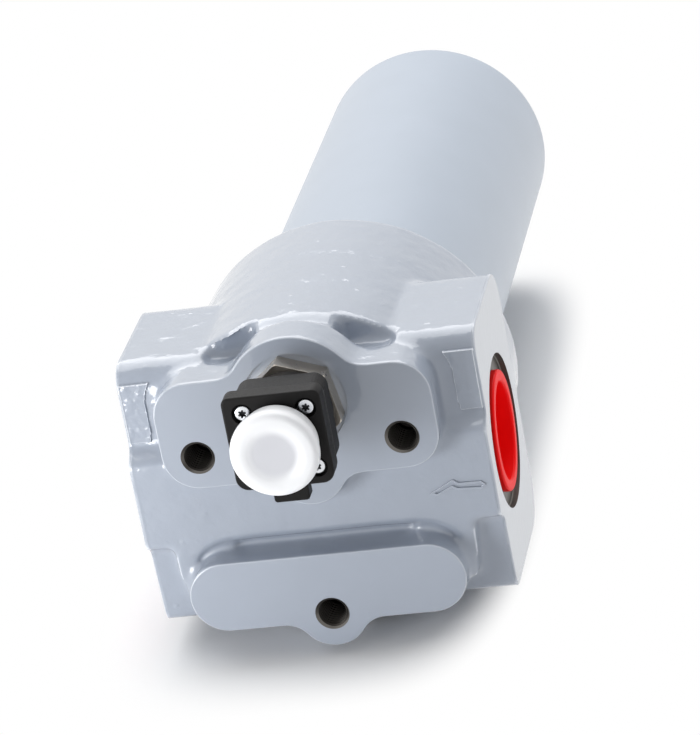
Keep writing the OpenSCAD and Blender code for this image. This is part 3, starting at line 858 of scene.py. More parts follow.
@dataclass
class Indicator:
    """The pressure indicator: steel body with its hexagon, black switch housing, and under the white cap
    the connector with its flange and four screws."""

    hex_af: float = 32.0
    hex_h: float = 8.0
    hex_turn: float = 40.0
    hex_face: float = 0.93
    hex_slope: float = 30.0
    seat_sink: float = 1.2
    shank_r: float = 9.9
    shank_end: float = 24.0
    shank_relief: float = 2.6
    shank_pitch: float = 1.5
    piston_bore: float = 4.6
    bore_top: float = 3.3
    snap_z: float = 22.8
    snap_t: float = 0.9
    snap_depth: float = 0.6
    tenon_r: float = 8.5
    tenon_h: float = 5.0
    switch_r: float = 3.2
    neck_r: float = 15.5
    neck_h: float = 6.0
    block_side: float = 33.0
    block_h: float = 12.0
    gasket_t: float = 1.0
    gasket_hole_r: float = 9.0
    gasket_lip: float = 1.5
    flange_w: float = 35.9
    flange_shift: float = -0.7
    flange_h: float = 36.0
    flange_t: float = 7.5
    collar_r: float = 12.2
    collar_h: float = 10.0
    collar_wall: float = 2.0
    pin_ring: float = 5.0
    pin_hole_r: float = 0.86
    tab_w: float = 13.0
    tab_drop: float = 6.5
    tab_t: float = 6.0
    screw_gap: float = 23.0
    screw_r: float = 3.05
    screw_room: float = 0.8
    screw_sink: float = 2.4
    screw_h: float = 2.1
    screw_shaft_r: float = 1.5
    screw_depth: float = 7.0
    screw_hole_r: float = 1.8
    drive_r: float = 1.1
    drive_core_r: float = 1.0
    lobe_r: float = 0.45
    lobe_turn: float = 20.0
    cap_r: float = 16.0
    skirt_r: float = 14.4
    lip_z: float = 41.2
    cap_low: float = 34.3
    cap_top: float = 46.7
    cap_wall: float = 1.3
    ring_r: float = 10.8
    dimple_r: float = 8.3
    dimple_depth: float = 1.3

    @property
    def hex_corner(self) -> float:
        """Distance of the hexagon's corners from its axis."""
        return self.hex_af / 2 / math.cos(math.radians(30))

    @property
    def hex_top(self) -> float:
        """Level of the hexagon's upper face."""
        return self.hex_h - self.seat_sink

    @property
    def block_z(self) -> float:
        """Level where the square block starts."""
        return self.hex_top + self.neck_h

    @property
    def block_top(self) -> float:
        """Level of the square block's upper face."""
        return self.block_z + self.block_h

    @property
    def flange_z(self) -> float:
        """Level of the flange's back."""
        return self.block_top + self.gasket_t

    @property
    def face_z(self) -> float:
        """Level of the flange's face."""
        return self.flange_z + self.flange_t

    def screw_places(self) -> list[Point]:
        """Returns the places of the four screws."""
        half = self.screw_gap / 2
        return [(INDICATOR[0] + x * half, INDICATOR[1] + y * half) for x in (-1, 1) for y in (-1, 1)]

    def body(self) -> None:
        """Builds the steel body: a chamfered hexagon on a screwed stem, with the piston's bore."""
        corner, top = self.hex_corner, self.hex_top
        bm = bmesh.new()
        bmesh.ops.create_cone(
            bm, cap_ends=True, segments=6, radius1=corner, radius2=corner, depth=self.hex_h,
            matrix=Matrix.Translation((*INDICATOR, top - self.hex_h / 2))
            @ Matrix.Rotation(math.radians(self.hex_turn + 30), 4, "Z"),
        )
        run = 1 / math.tan(math.radians(self.hex_slope))
        face = corner * self.hex_face
        chamfer = [
            (0, top + OVER), (face - run / 2, top + OVER), (face + self.hex_h * run, top - self.hex_h),
            (0, -self.seat_sink - OVER),
        ]
        hexagon = Solid(bm).common(Solid.spun(chamfer, INDICATOR)).round_edges(0.25)
        root = self.shank_r - 1.0
        thread_top = -self.seat_sink - self.shank_relief
        stem = [
            (0, top + self.tenon_h), (self.tenon_r, top + self.tenon_h), (self.tenon_r, -0.5),
            (self.shank_r, -0.5), (self.shank_r, thread_top + 0.4), (root, thread_top),
            (root, -self.shank_end), (0, -self.shank_end),
        ]
        screwed = Solid.spun(stem, INDICATOR, steps=72)
        screwed.add(Solid.thread(root, self.shank_r, self.shank_pitch, -self.shank_end, thread_top, at=INDICATOR))
        groove_r, groove_top = self.piston_bore + self.snap_depth, -self.snap_z + self.snap_t
        bore = [
            (0, -self.shank_end - OVER), (self.piston_bore, -self.shank_end - OVER),
            (self.piston_bore, -self.snap_z), (groove_r, -self.snap_z), (groove_r, groove_top),
            (self.piston_bore, groove_top), (self.piston_bore, self.bore_top), (0, self.bore_top),
        ]
        hexagon.add(screwed).cut(Solid.spun(bore, INDICATOR, steps=72, skin=Skin.BARE))
        hexagon.piece("indicator_hexagon", "head", "indicator_body", "turned_steel", Look.HEXAGON, Look.STEEL)

    def housing(self) -> None:
        """Builds the black housing: a round neck under a square block, bored for stem, switch and screws."""
        top, neck_top = self.block_top, self.block_z + 1
        neck = [(0, self.hex_top), (self.neck_r, self.hex_top, 0.6), (self.neck_r, neck_top), (0, neck_top)]
        block = Solid.plate(self.block_side, self.block_side, 5, self.block_z, top, INDICATOR).round_edges(0.8, 3)
        block.add(Solid.spun(neck, INDICATOR)).cut(
            Solid.rod(self.tenon_r + FIT, self.hex_top - OVER, self.hex_top + self.tenon_h + 0.3, INDICATOR),
            Solid.rod(self.switch_r, self.hex_top, top + OVER, INDICATOR, segments=32),
            *Solid.rods(self.screw_places(), self.screw_shaft_r + FIT, top - 8, top + OVER, segments=24),
        )
        block.piece("switch_block", "head", "switch_housing", "black_polyamide", Look.BLACK)

    def gasket(self) -> None:
        """Builds the thin gasket between the block and the flange."""
        side, low, high = self.block_side + self.gasket_lip, self.block_top, self.flange_z
        sheet = Solid.plate(side, side, 4, low, high, INDICATOR).round_edges(0.25)
        sheet.cut(
            Solid.rod(self.gasket_hole_r, low - OVER, high + OVER, INDICATOR),
            *Solid.rods(self.screw_places(), self.screw_hole_r, low - OVER, high + OVER, segments=24),
        )
        sheet.piece("flange_gasket", "head", "housing_gasket", "nitrile_rubber", Look.GASKET)

    def flange(self) -> None:
        """Builds the connector's flange with its tab, its collar and the four counterbores."""
        x, y = INDICATOR
        low, high = y - self.flange_h / 2, y + self.flange_h / 2
        left, right = (x + self.flange_shift + side * self.flange_w / 2 for side in (-1, 1))
        outline = [(left, low, 4.5), (right, low, 4.5), (right, high, 3.0), (left, high, 3.0)]
        plate = Solid.prism(outline, self.flange_z, self.face_z).round_edges(0.7, 3)
        half, tab_low = self.tab_w / 2, low - self.tab_drop
        outline = [(x - half, tab_low, 1.2), (x + half, tab_low, 1.2), (x + half, low + 2), (x - half, low + 2)]
        tab = Solid.prism(outline, self.flange_z, self.flange_z + self.tab_t).round_edges(0.5)
        base, rim = self.face_z - 1, self.face_z + self.collar_h
        collar = [(0, base), (self.collar_r, base), (self.collar_r, rim, 0.5), (0, rim)]
        plate.add(tab, Solid.spun(collar, INDICATOR))
        pins, screws = around(INDICATOR, self.pin_ring, 4, 45), self.screw_places()
        back, face, room = self.flange_z - OVER, self.face_z, self.screw_r + self.screw_room
        plate.cut(
            Solid.rod(self.collar_r - self.collar_wall, self.flange_z + 3, rim + OVER, INDICATOR),
            *Solid.rods(pins, self.pin_hole_r, back, self.flange_z + 5, segments=24),
            *Solid.rods(screws, room, face - self.screw_sink, face + OVER, segments=48),
            *Solid.rods(screws, self.screw_hole_r, back, face, segments=24),
        )
        plate.piece("cable_flange", "head", "connector_flange", "black_polyamide", Look.BLACK)

    def screws(self) -> None:
        """Builds the four pan head screws with their six-lobed drives."""
        made: list[Solid] = []
        base = self.face_z - self.screw_sink
        low, high = base + 0.5, base + 3
        for place in self.screw_places():
            head = [(0, base), (self.screw_r, base), (self.screw_r, base + 1.9, 0.8), (0, base + self.screw_h)]
            screw = Solid.spun(head, place, steps=48)
            bottom = self.flange_z - self.gasket_t - self.screw_depth
            screw.add(Solid.rod(self.screw_shaft_r, bottom, low, place, segments=32))
            drive = Solid.rod(self.drive_core_r, low, high, place, segments=24, skin=Skin.BARE)
            lobes = around(place, self.drive_r, 6, self.lobe_turn)
            drive.add(*Solid.rods(lobes, self.lobe_r, low, high, segments=16, skin=Skin.BARE))
            made.append(screw.cut(drive))
        whole = made[0].add(*made[1:])
        whole.piece("flange_screw_set", "head", "flange_screws", "zinc_plated_steel", Look.ZINC, Look.RECESS)

    def cap(self) -> None:
        """Builds the translucent cap: a thin cup with a gripping band inside and a hollow in its front."""
        inside, grip = self.skirt_r - self.cap_wall, self.collar_r + 0.1
        ceiling, low, top = self.face_z + self.collar_h + 0.1, self.cap_low, self.cap_top
        profile = [
            (0, ceiling), (inside, ceiling, 0.6), (inside, low + 3.5), (grip, low + 3.5), (grip, low + 1.5),
            (inside, low + 1.5), (inside, low, 0.3), (self.skirt_r, low, 0.3),
            (self.skirt_r, self.lip_z - 1.5, 1.5), (self.cap_r, self.lip_z, 1.2), (self.cap_r, top, 2.6),
            (self.ring_r, top - 0.1, 1.2), (self.dimple_r, top - self.dimple_depth + 0.2, 1.5),
            (0, top - self.dimple_depth),
        ]
        cup = Solid.spun(profile, INDICATOR, steps=160)
        cup.piece("dust_cap", "cap", "protective_cap", "white_polyethylene", Look.WHITE)

    def build(self) -> None:
        """Builds the whole indicator."""
        self.body()
        self.housing()
        self.gasket()
        self.flange()
        self.screws()
        self.cap()


# Plugs, bowl and springs


@dataclass
class PortPlugs:
    """The two red pull-out plugs: thin cups with a rim that lies on the port's spot face."""

    seat_x: float = 64.5
    rim_r: float = 22.7
    rim_t: float = 2.9
    body_r: float = 19.44
    length: float = 19.0
    wall: float = 1.1
    taper: float = 0.3

    def build(self) -> None:
        """Builds both plugs, the outlet's as the mirror of the inlet's."""
        seat, inside = self.seat_x, self.body_r - self.wall
        front, inner = seat + self.rim_t, seat - self.length
        profile = [
            (0, inner), (self.body_r - self.taper, inner, 1.2), (self.body_r, seat), (self.rim_r, seat, 0.4),
            (self.rim_r, front, 0.9), (inside, front, 0.9), (inside - self.taper, inner + self.wall, 1.0),
            (0, inner + self.wall),
        ]
        inlet = Solid.spun(profile, steps=160, frame_=ROUND_X)
        outlet = inlet.mirrored()
        inlet.piece("inlet_dust_plug", "plug_in", "inlet_plug", "red_polyethylene", Look.RED)
        outlet.piece("outlet_dust_plug", "plug_out", "outlet_plug", "red_polyethylene", Look.RED)


@dataclass
class PressureBowl:
    """The long bowl: a painted tube with a closed end, a threaded neck and a grooved sealing land."""

    outer_r: float = 48.25
    wall: float = 7.75
    top: float = 120.3
    end: float = 361.5
    floor: float = 12.0
    edge: float = 4.0
    inner_edge: float = 8.0
    neck_r: float = 47.0
    neck_top: float = 93.3
    land_r: float = 45.5
    land_top: float = 79.3
    groove_r: float = 42.9
    groove_low: float = 88.65
    groove_high: float = 83.95
    pitch: float = 3.0

    def build(self) -> None:
        """Builds the bowl with its thread."""
        outside = [
            (0, -self.end), (self.outer_r, -self.end, self.edge), (self.outer_r, -self.top, 0.5), (0, -self.top),
        ]
        tube = Solid.spun(outside, steps=192)
        root = self.land_r + 0.2
        neck = [
            (0, -self.top - 2), (root, -self.top - 2), (root, -self.neck_top - 1.5),
            (self.land_r, -self.neck_top), (self.land_r, -self.groove_low, 0.15),
            (self.groove_r, -self.groove_low, 0.3), (self.groove_r, -self.groove_high, 0.3),
            (self.land_r, -self.groove_high, 0.15), (self.land_r, -self.land_top, 0.8), (0, -self.land_top),
        ]
        turned = Solid.spun(neck, steps=192, skin=Skin.BARE)
        low, high = -self.top - 1, -self.neck_top - 0.5
        turned.add(Solid.thread(root, self.neck_r, self.pitch, low, high, skin=Skin.BARE, steps=96))
        bore, floor, mouth = self.outer_r - self.wall, -self.end + self.floor, -self.land_top + OVER
        hollow = [(0, floor), (bore, floor, self.inner_edge), (bore, mouth), (0, mouth)]
        tube.add(turned).cut(Solid.spun(hollow, steps=192, skin=Skin.BARE))
        tube.piece("pressure_bowl", "bowl", "bowl", "blue_grey_enamel_bowl", Look.BOWL_PAINT, Look.BARE_BOWL)


@dataclass(frozen=True)
class Spring:
    """A compression spring of round wire between a seat in the head, above, and a moving end, below.
    """

    name: str
    node: str
    joint: str
    stroke: float
    axis_at: Point
    radius: float
    wire: float
    low: float
    seat: float
    turns: int
    gap: float = 0.05
    sides: int = 10
    steps: int = 28

    def build(self) -> None:
        """Winds the spring and gives the piece a mesh of its own."""
        section = around((self.radius, 0), self.wire / 2, self.sides, 0)
        rise = (self.seat - self.low - 2 * self.gap - self.wire) / self.turns
        start = self.low + self.gap + self.wire / 2
        coil = Solid.wound(section, rise, self.turns, start, self.axis_at, steps=self.steps)
        made = coil.piece(self.name, "head", self.node, "spring_steel", Look.SPRING)
        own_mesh(made)


SPRINGS = (
    Spring("bypass_coil", "bypass_spring", "bypass_lift", 4.0, (-28.5, 0.0), 3.6, 0.9, -85.0, -74.0, 5),
    Spring("indicator_coil", "indicator_spring", "indicator_stroke", 2.5, INDICATOR, 3.85, 0.6, -8.85, 3.3, 6),
)


# The head


@dataclass
class HeadCasting:
    """The cast head: a block with wings, the barrel that takes the bowl, two mounting bosses, and
    everything that is drilled and turned into it."""

    indicator: Indicator
    bowl: PressureBowl
    width: float = 134.0
    block_top: float = 52.3
    block_low: float = 51.5
    block_back: float = 83.0
    back_round: float = 15.0
    front_round: float = 9.0
    main_face: float = 8.7
    band_face: float = 15.3
    low_face: float = 15.0
    band_y: float = 21.0
    band_step: float = 4.5
    low_step: float = 17.5
    barrel_r: float = 63.25
    barrel_front: float = 15.0
    barrel_round: float = 12.0
    barrel_step: float = 0.15
    step_length: float = 5.0
    waist: float = 57.0
    boss_half: float = 51.5
    boss_top: float = 50.5
    boss_bottom: float = 8.8
    boss_round: float = 13.0
    dome_r: float = 25.5
    lobe_r: float = 14.0
    lobe_y: float = 12.0
    foot_half: float = 52.0
    foot_top: float = 22.3
    foot_h: float = 27.4
    bump_r: float = 13.2
    blend_r: float = 10.0
    shoulder_x: float = 57.0
    shoulder_y: float = 25.0
    shoulder_low: float = 42.0
    moat_half: float = 34.6
    moat_r: float = 18.2
    pocket_depth: float = 27.0
    patch_rise: float = 0.8
    hole_gap: float = 76.0
    hole_y: float = 21.1
    low_hole_y: float = 46.3
    tap_r: float = 5.1
    tap_pitch: float = 1.75
    tap_groove: float = 0.85
    tap_depth: float = 20.0
    tap_chamfer: float = 1.3
    port_r: float = 19.5
    port_pitch: float = 2.31
    port_groove: float = 1.4
    port_len: float = 24.0
    spot_r: float = 28.9
    spot_sink: float = 2.5
    passage_r: float = 15.0
    inlet_stop: float = 24.0
    ceiling: float = 72.0
    chamber_r: float = 42.0
    spigot_r: float = 17.2
    spigot_bore: float = 13.0
    spigot_end: float = 104.0
    bypass_x: float = 28.5
    bypass_r: float = 9.0
    outlet_floor: float = 61.1
    outlet_well_r: float = 10.5
    inlet_well_r: float = 8.0
    seal_room: float = 2.8
    stock: float = 1.5
    rim: float = 0.55
    voxel: float = 1.0
    hollow_from: float = 0.1
    fillet_rounds: int = 28
    fillet_rings: int = 4
    pocket_rounds: int = 12
    skin_rounds: int = 6
    sand_depth: float = 0.16
    sand_size: float = 11.0
    sand_from: float = -1.5
    sand_over: float = 3.0
    sand_margin: float = 1.2
    fine_size: float = 0.41
    fine_share: float = 0.45
    patch_voxel: float = 0.5
    patch_size: float = 2.2
    # How sharply an edge turns where its painted highlight starts and where it is full
    highlight_from: float = 0.09
    highlight_full: float = 0.2

    @property
    def boss_root(self) -> float:
        """Depth at which the bosses' prisms end inside the block."""
        return self.band_face + 3

    def boss_rods(self, places: Sequence[Point], radius: float) -> list[Solid]:
        """Returns the round parts of a boss."""
        return Solid.rods(places, radius, -self.boss_root, self.stock)

    def block(self) -> Solid:
        """Returns the block with its wings, pushed along X."""
        profile = [
            (-self.block_low, -self.block_back, self.back_round),
            (self.block_top, -self.block_back, self.back_round),
            (self.block_top, -self.band_face, self.front_round),
            (self.band_y, -self.band_face, 1.5),
            (self.band_y - self.band_step, -self.main_face, 1.5),
            (-self.low_step, -self.main_face, 1.2),
            (-self.low_step - 3, -self.low_face + 1, 1.5),
            (-self.block_low, -self.low_face - 1.5, 4.0),
        ]
        reach = self.width / 2 + self.stock
        return Solid.prism(profile, -reach, reach, ALONG_X)

    def barrel(self) -> Solid:
        """Returns the barrel with its two cast steps and its round shoulder."""
        front = self.barrel_r - 2 * self.barrel_step
        waist = self.barrel_r - self.barrel_step
        profile = [
            (0, -self.barrel_front), (front, -self.barrel_front, self.barrel_round), (front, -self.waist),
            (waist, -self.waist - self.step_length), (waist, -self.block_back),
            (self.barrel_r, -self.block_back - self.step_length), (self.barrel_r, -self.bowl.top, 2.5),
            (0, -self.bowl.top),
        ]
        return Solid.spun(profile, steps=192)

    def blends(self, centre: Point, radius: float, edge: float, side: int) -> list[Solid]:
        """Fills the hollow corners where a round stands out of a straight edge.

        Args:
            centre: centre of the round.
            radius: radius of the round.
            edge: level of the straight edge.
            side: 1 where the round stands out upwards, -1 downwards.

        Returns:
            One solid for each side of the round.
        """
        made = []
        level = edge + side * self.blend_r
        reach = math.sqrt((radius + self.blend_r) ** 2 - (level - centre[1]) ** 2)
        share = radius / (radius + self.blend_r)
        for way in (-1, 1):
            hollow = (centre[0] + way * reach, level)
            touch = tuple(c + (h - c) * share for c, h in zip(centre, hollow))
            wedge = Solid.prism([(centre[0], edge), (hollow[0], edge), hollow, touch], -self.boss_root, self.stock)
            made.append(wedge.cut(Solid.rod(self.blend_r, -self.boss_root - OVER, self.stock + OVER, hollow)))
        return made

    def upper_boss(self) -> Solid:
        """Returns the boss that carries the indicator and the two upper mounting holes."""
        lobe = (INDICATOR[0], self.lobe_y)
        boss = Solid.plate(
            2 * self.boss_half, self.boss_top - self.boss_bottom, self.boss_round, -self.boss_root, self.stock,
            (0, (self.boss_top + self.boss_bottom) / 2),
        )
        return boss.add(
            *self.boss_rods([INDICATOR], self.dome_r),
            *self.boss_rods([lobe], self.lobe_r),
            *self.blends(INDICATOR, self.dome_r, self.boss_top, 1),
            *self.blends(lobe, self.lobe_r, self.boss_bottom, -1),
        )

    def lower_boss(self) -> Solid:
        """Returns the boss with the lower mounting hole."""
        half = self.foot_h / 2
        side, middle = self.foot_half - half, -self.foot_top - half
        boss = Solid.plate(2 * side, self.foot_h, 0, -self.boss_root, self.stock, (0, middle))
        bump = (0, -self.low_hole_y)
        return boss.add(
            *self.boss_rods([(-side, middle), (side, middle)], half),
            *self.boss_rods([bump], self.bump_r),
            *self.blends(bump, self.bump_r, -self.foot_top - self.foot_h, -1),
        )

    def shoulders(self) -> list[Solid]:
        """Returns the ends of the main face that reach down beside the lower boss."""
        inside, above = 20, -10
        corners = [
            (inside, above), (self.shoulder_x, above), (self.shoulder_x, -self.shoulder_y, 6.0),
            (self.shoulder_x - 2.5, -self.shoulder_low, 2.5), (inside, -self.shoulder_low),
        ]
        right = Solid.prism(corners, -self.boss_root, -self.main_face)
        return [right.mirrored(), right]

    def moat(self) -> Solid:
        """Returns the cutter of the groove that the lower boss stands in: deep, with a shallower rim."""
        middle = -self.foot_top - self.foot_h / 2
        deep, shallow = -self.low_face + 0.4, -self.low_face + 3.0
        ends = [(way * self.moat_half, middle) for way in (-1, 1)]
        slot = Solid.plate(2 * self.moat_half, 2 * self.moat_r, 0, shallow, OVER, (0, middle))
        slot.add(*Solid.rods(ends, self.moat_r, shallow, OVER))
        return slot.add(Solid.plate(2 * self.moat_half + 8, 2 * self.moat_r - 2, 10, deep, OVER, (0, middle)))

    def pockets(self) -> list[Solid]:
        """Returns the cutters of the hollows between the dome and the barrel."""
        right = [(15.0, 62.0, 0.0), (23.5, 57.6, 3.0), (36.5, 52.8, 1.5), (34.5, 48.0, 0.0), (15.0, 48.0, 0.0)]
        return [
            Solid.prism([(INDICATOR[0] + way * a, b, r) for a, b, r in right], -self.pocket_depth, OVER)
            for way in (1, -1)
        ]

    def beside_dome(self, body: Solid) -> np.ndarray:
        """Returns which vertices lie round the pockets, where the sand core left soft edges."""
        x, y, z = body.places().T
        beside = np.abs(x - INDICATOR[0]) < self.dome_r + 18
        return beside & (y > self.block_top - 7) & (z < -5) & (z > -self.pocket_depth - 9)

    def patches(self) -> list[Solid]:
        """Returns the rough raised pads that the casting carries on the front of its wings."""
        side = self.width / 2 - self.rim
        corners = [
            (side, 22.6), (57.9, 22.6, 0.6), (57.0, 30.0, 4.0), (57.4, 41.0, 4.0), (54.3, 46.3, 0.6), (side, 46.3),
        ]
        right = Solid.prism(corners, -self.band_face - 2, -self.band_face + self.patch_rise)
        right.remesh(self.patch_voxel).smooth(1)
        self.roughen(right, self.patch_size)
        return [right.mirrored(), right]

    @staticmethod
    def bends(body: Solid) -> tuple[np.ndarray, np.ndarray, np.ndarray]:
        """Measures how the surface bends at each vertex.

        Args:
            body: the casting.

        Returns:
            The two ends of every edge, and for each vertex the mean slope of its edges against its normal,
            above zero in a hollow corner and below zero on an edge.
        """
        a, b = column(body.obj.data.edges, "vertices", 2, np.int32).T
        places, normals = body.places(), body.normals()
        way = places[b] - places[a]
        way /= np.maximum(np.linalg.norm(way, axis=1, keepdims=True), 1e-6)
        count = np.bincount(a, minlength=len(places)) + np.bincount(b, minlength=len(places))
        slope = np.zeros(len(places))
        np.add.at(slope, a, np.einsum("ij,ij->i", way, normals[a]))
        np.add.at(slope, b, -np.einsum("ij,ij->i", way, normals[b]))
        return a, b, slope / np.maximum(count, 1)

    def mark_painted_highlights(self, body: Solid) -> None:
        """Stores on each face corner how sharply the casting's edge turns there, as the share of the enamel's painted
        highlight.

        Args:
            body: the machined casting.
        """
        slope = self.bends(body)[2]
        share = np.clip((-slope - self.highlight_from) / (self.highlight_full - self.highlight_from), 0, 1)
        mesh = body.obj.data
        corner = column(mesh.loops, "vertex_index", kind=np.int32)
        sides = column(mesh.polygons, "loop_total", kind=np.int32)
        small = np.repeat(column(mesh.polygons, "area") < FLAT_AREA, sides)
        layer = mesh.attributes.new(PAINTED_HIGHLIGHT_LAYER, "FLOAT", "CORNER")
        layer.data.foreach_set("value", np.where(small, share[corner], 0.0).astype(np.float32))

    def hollows(self, body: Solid) -> np.ndarray:
        """Finds the vertices in and beside hollow corners, where a casting has its fillets.

        Args:
            body: the remeshed casting.

        Returns:
            One truth value for each vertex.
        """
        a, b, slope = self.bends(body)
        found = slope > self.hollow_from
        for _ in range(self.fillet_rings):
            grown = found.copy()
            np.logical_or.at(grown, a, found[b])
            np.logical_or.at(grown, b, found[a])
            found = grown
        return found

    def roughen(self, body: Solid, size: float) -> None:
        """Gives the cast faces the slight unevenness of a sand mould, inwards only.

        Args:
            body: the remeshed casting.
            size: width of the lumps.
        """
        places = body.places()
        fine, share = size * self.fine_size, self.fine_share
        wave = np.array([noise.noise(Vector(p) / size) + share * noise.noise(Vector(p) / fine) for p in places])
        cast = np.clip((self.sand_from - places[:, 2]) / self.sand_over, 0, 1)
        cast *= np.abs(places[:, 0]) < self.width / 2 - self.sand_margin
        sunk = cast * (wave - 1) * self.sand_depth
        moved = places + body.normals() * sunk[:, None]
        body.obj.data.vertices.foreach_set("co", moved.ravel())
        body.obj.data.update()

    def mounting_hole(self, at: Point) -> Solid:
        """Returns the cutter of one tapped mounting hole, with its thread and drill point."""
        radius, depth = self.tap_r, self.tap_depth
        profile = [(0, OVER), (radius, OVER), (radius, -depth), (0, -depth - radius / 2)]
        return Solid.spun(profile, at, steps=48, skin=Skin.TAPPED).add(
            Solid.thread(radius, radius + self.tap_groove, self.tap_pitch, -depth + 1, 0.8, at=at, skin=Skin.TAPPED)
        )

    def chamfer(self, at: Point) -> Solid:
        """Returns the cutter of the bright chamfer at the mouth of a mounting hole."""
        radius, depth = self.tap_r, self.tap_chamfer
        profile = [(0, OVER), (radius + depth + OVER, OVER), (radius, -depth), (0, -depth)]
        return Solid.spun(profile, at, steps=64, skin=Skin.BARE)

    def port(self, inner_end: float) -> Solid:
        """Returns the cutter of the port on the +X side.

        Args:
            inner_end: where its passage ends.

        Returns:
            The cutter, with the spot face and the threaded bore.
        """
        outside, seat = self.width / 2 + OVER, self.width / 2 - self.spot_sink
        radius, bottom = self.port_r, seat - self.port_len
        profile = [
            (0, outside), (self.spot_r, outside), (self.spot_r, seat, 0.5), (radius + 1.5, seat),
            (radius, seat - 1.5), (radius, bottom), (self.passage_r, bottom - 2), (self.passage_r, inner_end),
            (0, inner_end),
        ]
        turned = {"skin": Skin.BARE, "frame_": ROUND_X}
        crest = radius + self.port_groove
        return Solid.spun(profile, **turned).add(
            Solid.thread(radius, crest, self.port_pitch, bottom + 2, seat - 0.5, **turned)
        )

    def cutters(self) -> list[Solid]:
        """Returns everything that is machined out of the casting."""
        bowl, top = self.bowl, self.indicator
        mouth = -bowl.top - OVER
        neck_r, land_r = bowl.neck_r + FIT, bowl.land_r + FIT
        bowl_axis = [
            (0, mouth), (neck_r, mouth), (neck_r, -bowl.neck_top), (land_r, -bowl.neck_top + 1),
            (land_r, -bowl.land_top), (self.chamber_r, -bowl.land_top + 1), (self.chamber_r, -self.ceiling, 3.0),
            (self.spigot_r, -self.ceiling, 1.0), (self.spigot_r, -self.spigot_end), (0, -self.spigot_end),
        ]
        spot_r, room_r, shank_r = top.hex_corner + 0.7, top.shank_r + self.seal_room, top.shank_r + FIT
        floor, end = -top.seat_sink - 2, -top.shank_end - 2
        seat = [
            (0, OVER), (spot_r, OVER), (spot_r, -top.seat_sink, 0.3), (room_r, -top.seat_sink), (room_r, floor),
            (shank_r, floor), (shank_r, end), (0, end),
        ]
        right = self.port(-self.spigot_bore / 2)
        outlet = right.mirrored()
        right.discard()
        bypass, below = (-self.bypass_x, 0), -self.ceiling - OVER
        holes = [(-self.hole_gap / 2, self.hole_y), (self.hole_gap / 2, self.hole_y), (0, -self.low_hole_y)]
        return [
            self.port(self.inlet_stop),
            outlet,
            Solid.spun(bowl_axis, skin=Skin.BARE),
            Solid.rod(self.spigot_bore, -bowl.top, PORT_Z, skin=Skin.BARE),
            Solid.rod(self.bypass_r + FIT, below, -self.outlet_floor + OVER, bypass, skin=Skin.BARE),
            Solid.rod(self.outlet_well_r, -self.outlet_floor, PORT_Z, bypass, skin=Skin.BARE),
            Solid.rod(self.inlet_well_r, below, PORT_Z, (self.inlet_stop + 7, 0), skin=Skin.BARE),
            Solid.spun(seat, INDICATOR),
            *[self.mounting_hole(at) for at in holes],
            *[self.chamfer(at) for at in holes],
        ]

    def arrow(self) -> Solid:
        """Returns the raised outline of the arrow that shows the way of the flow."""
        corners = [
            (42.4, -6.2, 0.4), (45.4, -7.1, 0.4), (51.0, -4.5, 0.4), (52.7, -5.5, 0.4), (61.8, -6.0, 0.4),
            (63.6, -4.6, 0.5), (61.8, -3.0, 0.5), (53.5, -2.9, 0.5), (51.6, -1.4, 0.6),
        ]
        low, top = -self.main_face - 0.5, -self.main_face + 0.55
        rim = Solid.prism(corners, low, top)
        return rim.cut(Solid.prism(drawn_in(corners, 0.7), low - OVER, top + OVER)).round_edges(0.2)

    def build(self) -> None:
        """Casts, machines and paints the head."""
        body = self.block().add(self.barrel(), *self.shoulders()).cut(self.moat(), *self.pockets())
        body.add(self.upper_boss(), self.lower_boss())
        body.remesh(self.voxel)
        body.smooth(self.fillet_rounds, self.hollows(body))
        body.smooth(self.pocket_rounds, self.beside_dome(body))
        body.smooth(self.skin_rounds)
        self.roughen(body, self.sand_size)
        body.face_off(Vector((0, 0, 1)), 0.0, self.rim)
        for way in (-1, 1):
            body.face_off(Vector((way, 0, 0)), self.width / 2, self.rim)
        body.add(self.arrow(), *self.patches())
        body.cut(*self.cutters())
        self.mark_painted_highlights(body)
        looks = (Look.HEAD_PAINT, Look.BARE_IRON, Look.OILY_AND_SHADED_IRON)
        body.piece("head", "head", "head_casting", "blue_grey_enamel", *looks, crease=40)


# What stays as the frame's own nodes


def dress_nodes() -> None:
    """Gives the nodes that stay as they are their real finish."""
    dress = {
        Look.RUBBER: ("bowl_o_ring", "element_o_ring", "indicator_seal"),
        Look.IVORY: ("bowl_backup_ring",),
        Look.ZINC: ("element_top_cap", "element_core_tube", "element_bottom_cap"),
        Look.FLEECE: ("element_pleats",),
        Look.BRASS: ("bypass_seat", "indicator_piston", "connector_pins"),
        Look.STEEL: ("bypass_poppet", "bypass_retainer"),
        Look.SPRING: ("indicator_snap_ring",),
        Look.MAGNET: ("indicator_magnet",),
        Look.GLASS: ("reed_switch",),
        Look.INSERT: ("connector_insert",),
    }
    for look, names in dress.items():
        for name in names:
            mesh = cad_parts[name].data
            mesh.materials.clear()
            mesh.materials.append(look.material())


# The studio


@dataclass(frozen=True)
class Lamp:
    """A square soft box: its place and the point it faces in metres, its side in metres, its power in watts,
    and whether glossy surfaces mirror it."""

    name: str
    place: Corner
    size: float
    power: float
    aim: Corner = (0.0, 0.0, -0.1)
    mirrored: bool = True

    def hang(self) -> None:
        """Adds the lamp to the scene."""
        data = bpy.data.lights.new(self.name, "AREA")
        data.size, data.energy = self.size, self.power
        made = bpy.data.objects.new(self.name, data)
        made.location = self.place
        made.visible_glossy = self.mirrored
        made.rotation_euler = (Vector(self.aim) - Vector(self.place)).to_track_quat("-Z", "Y").to_euler()
        bpy.context.scene.collection.objects.link(made)


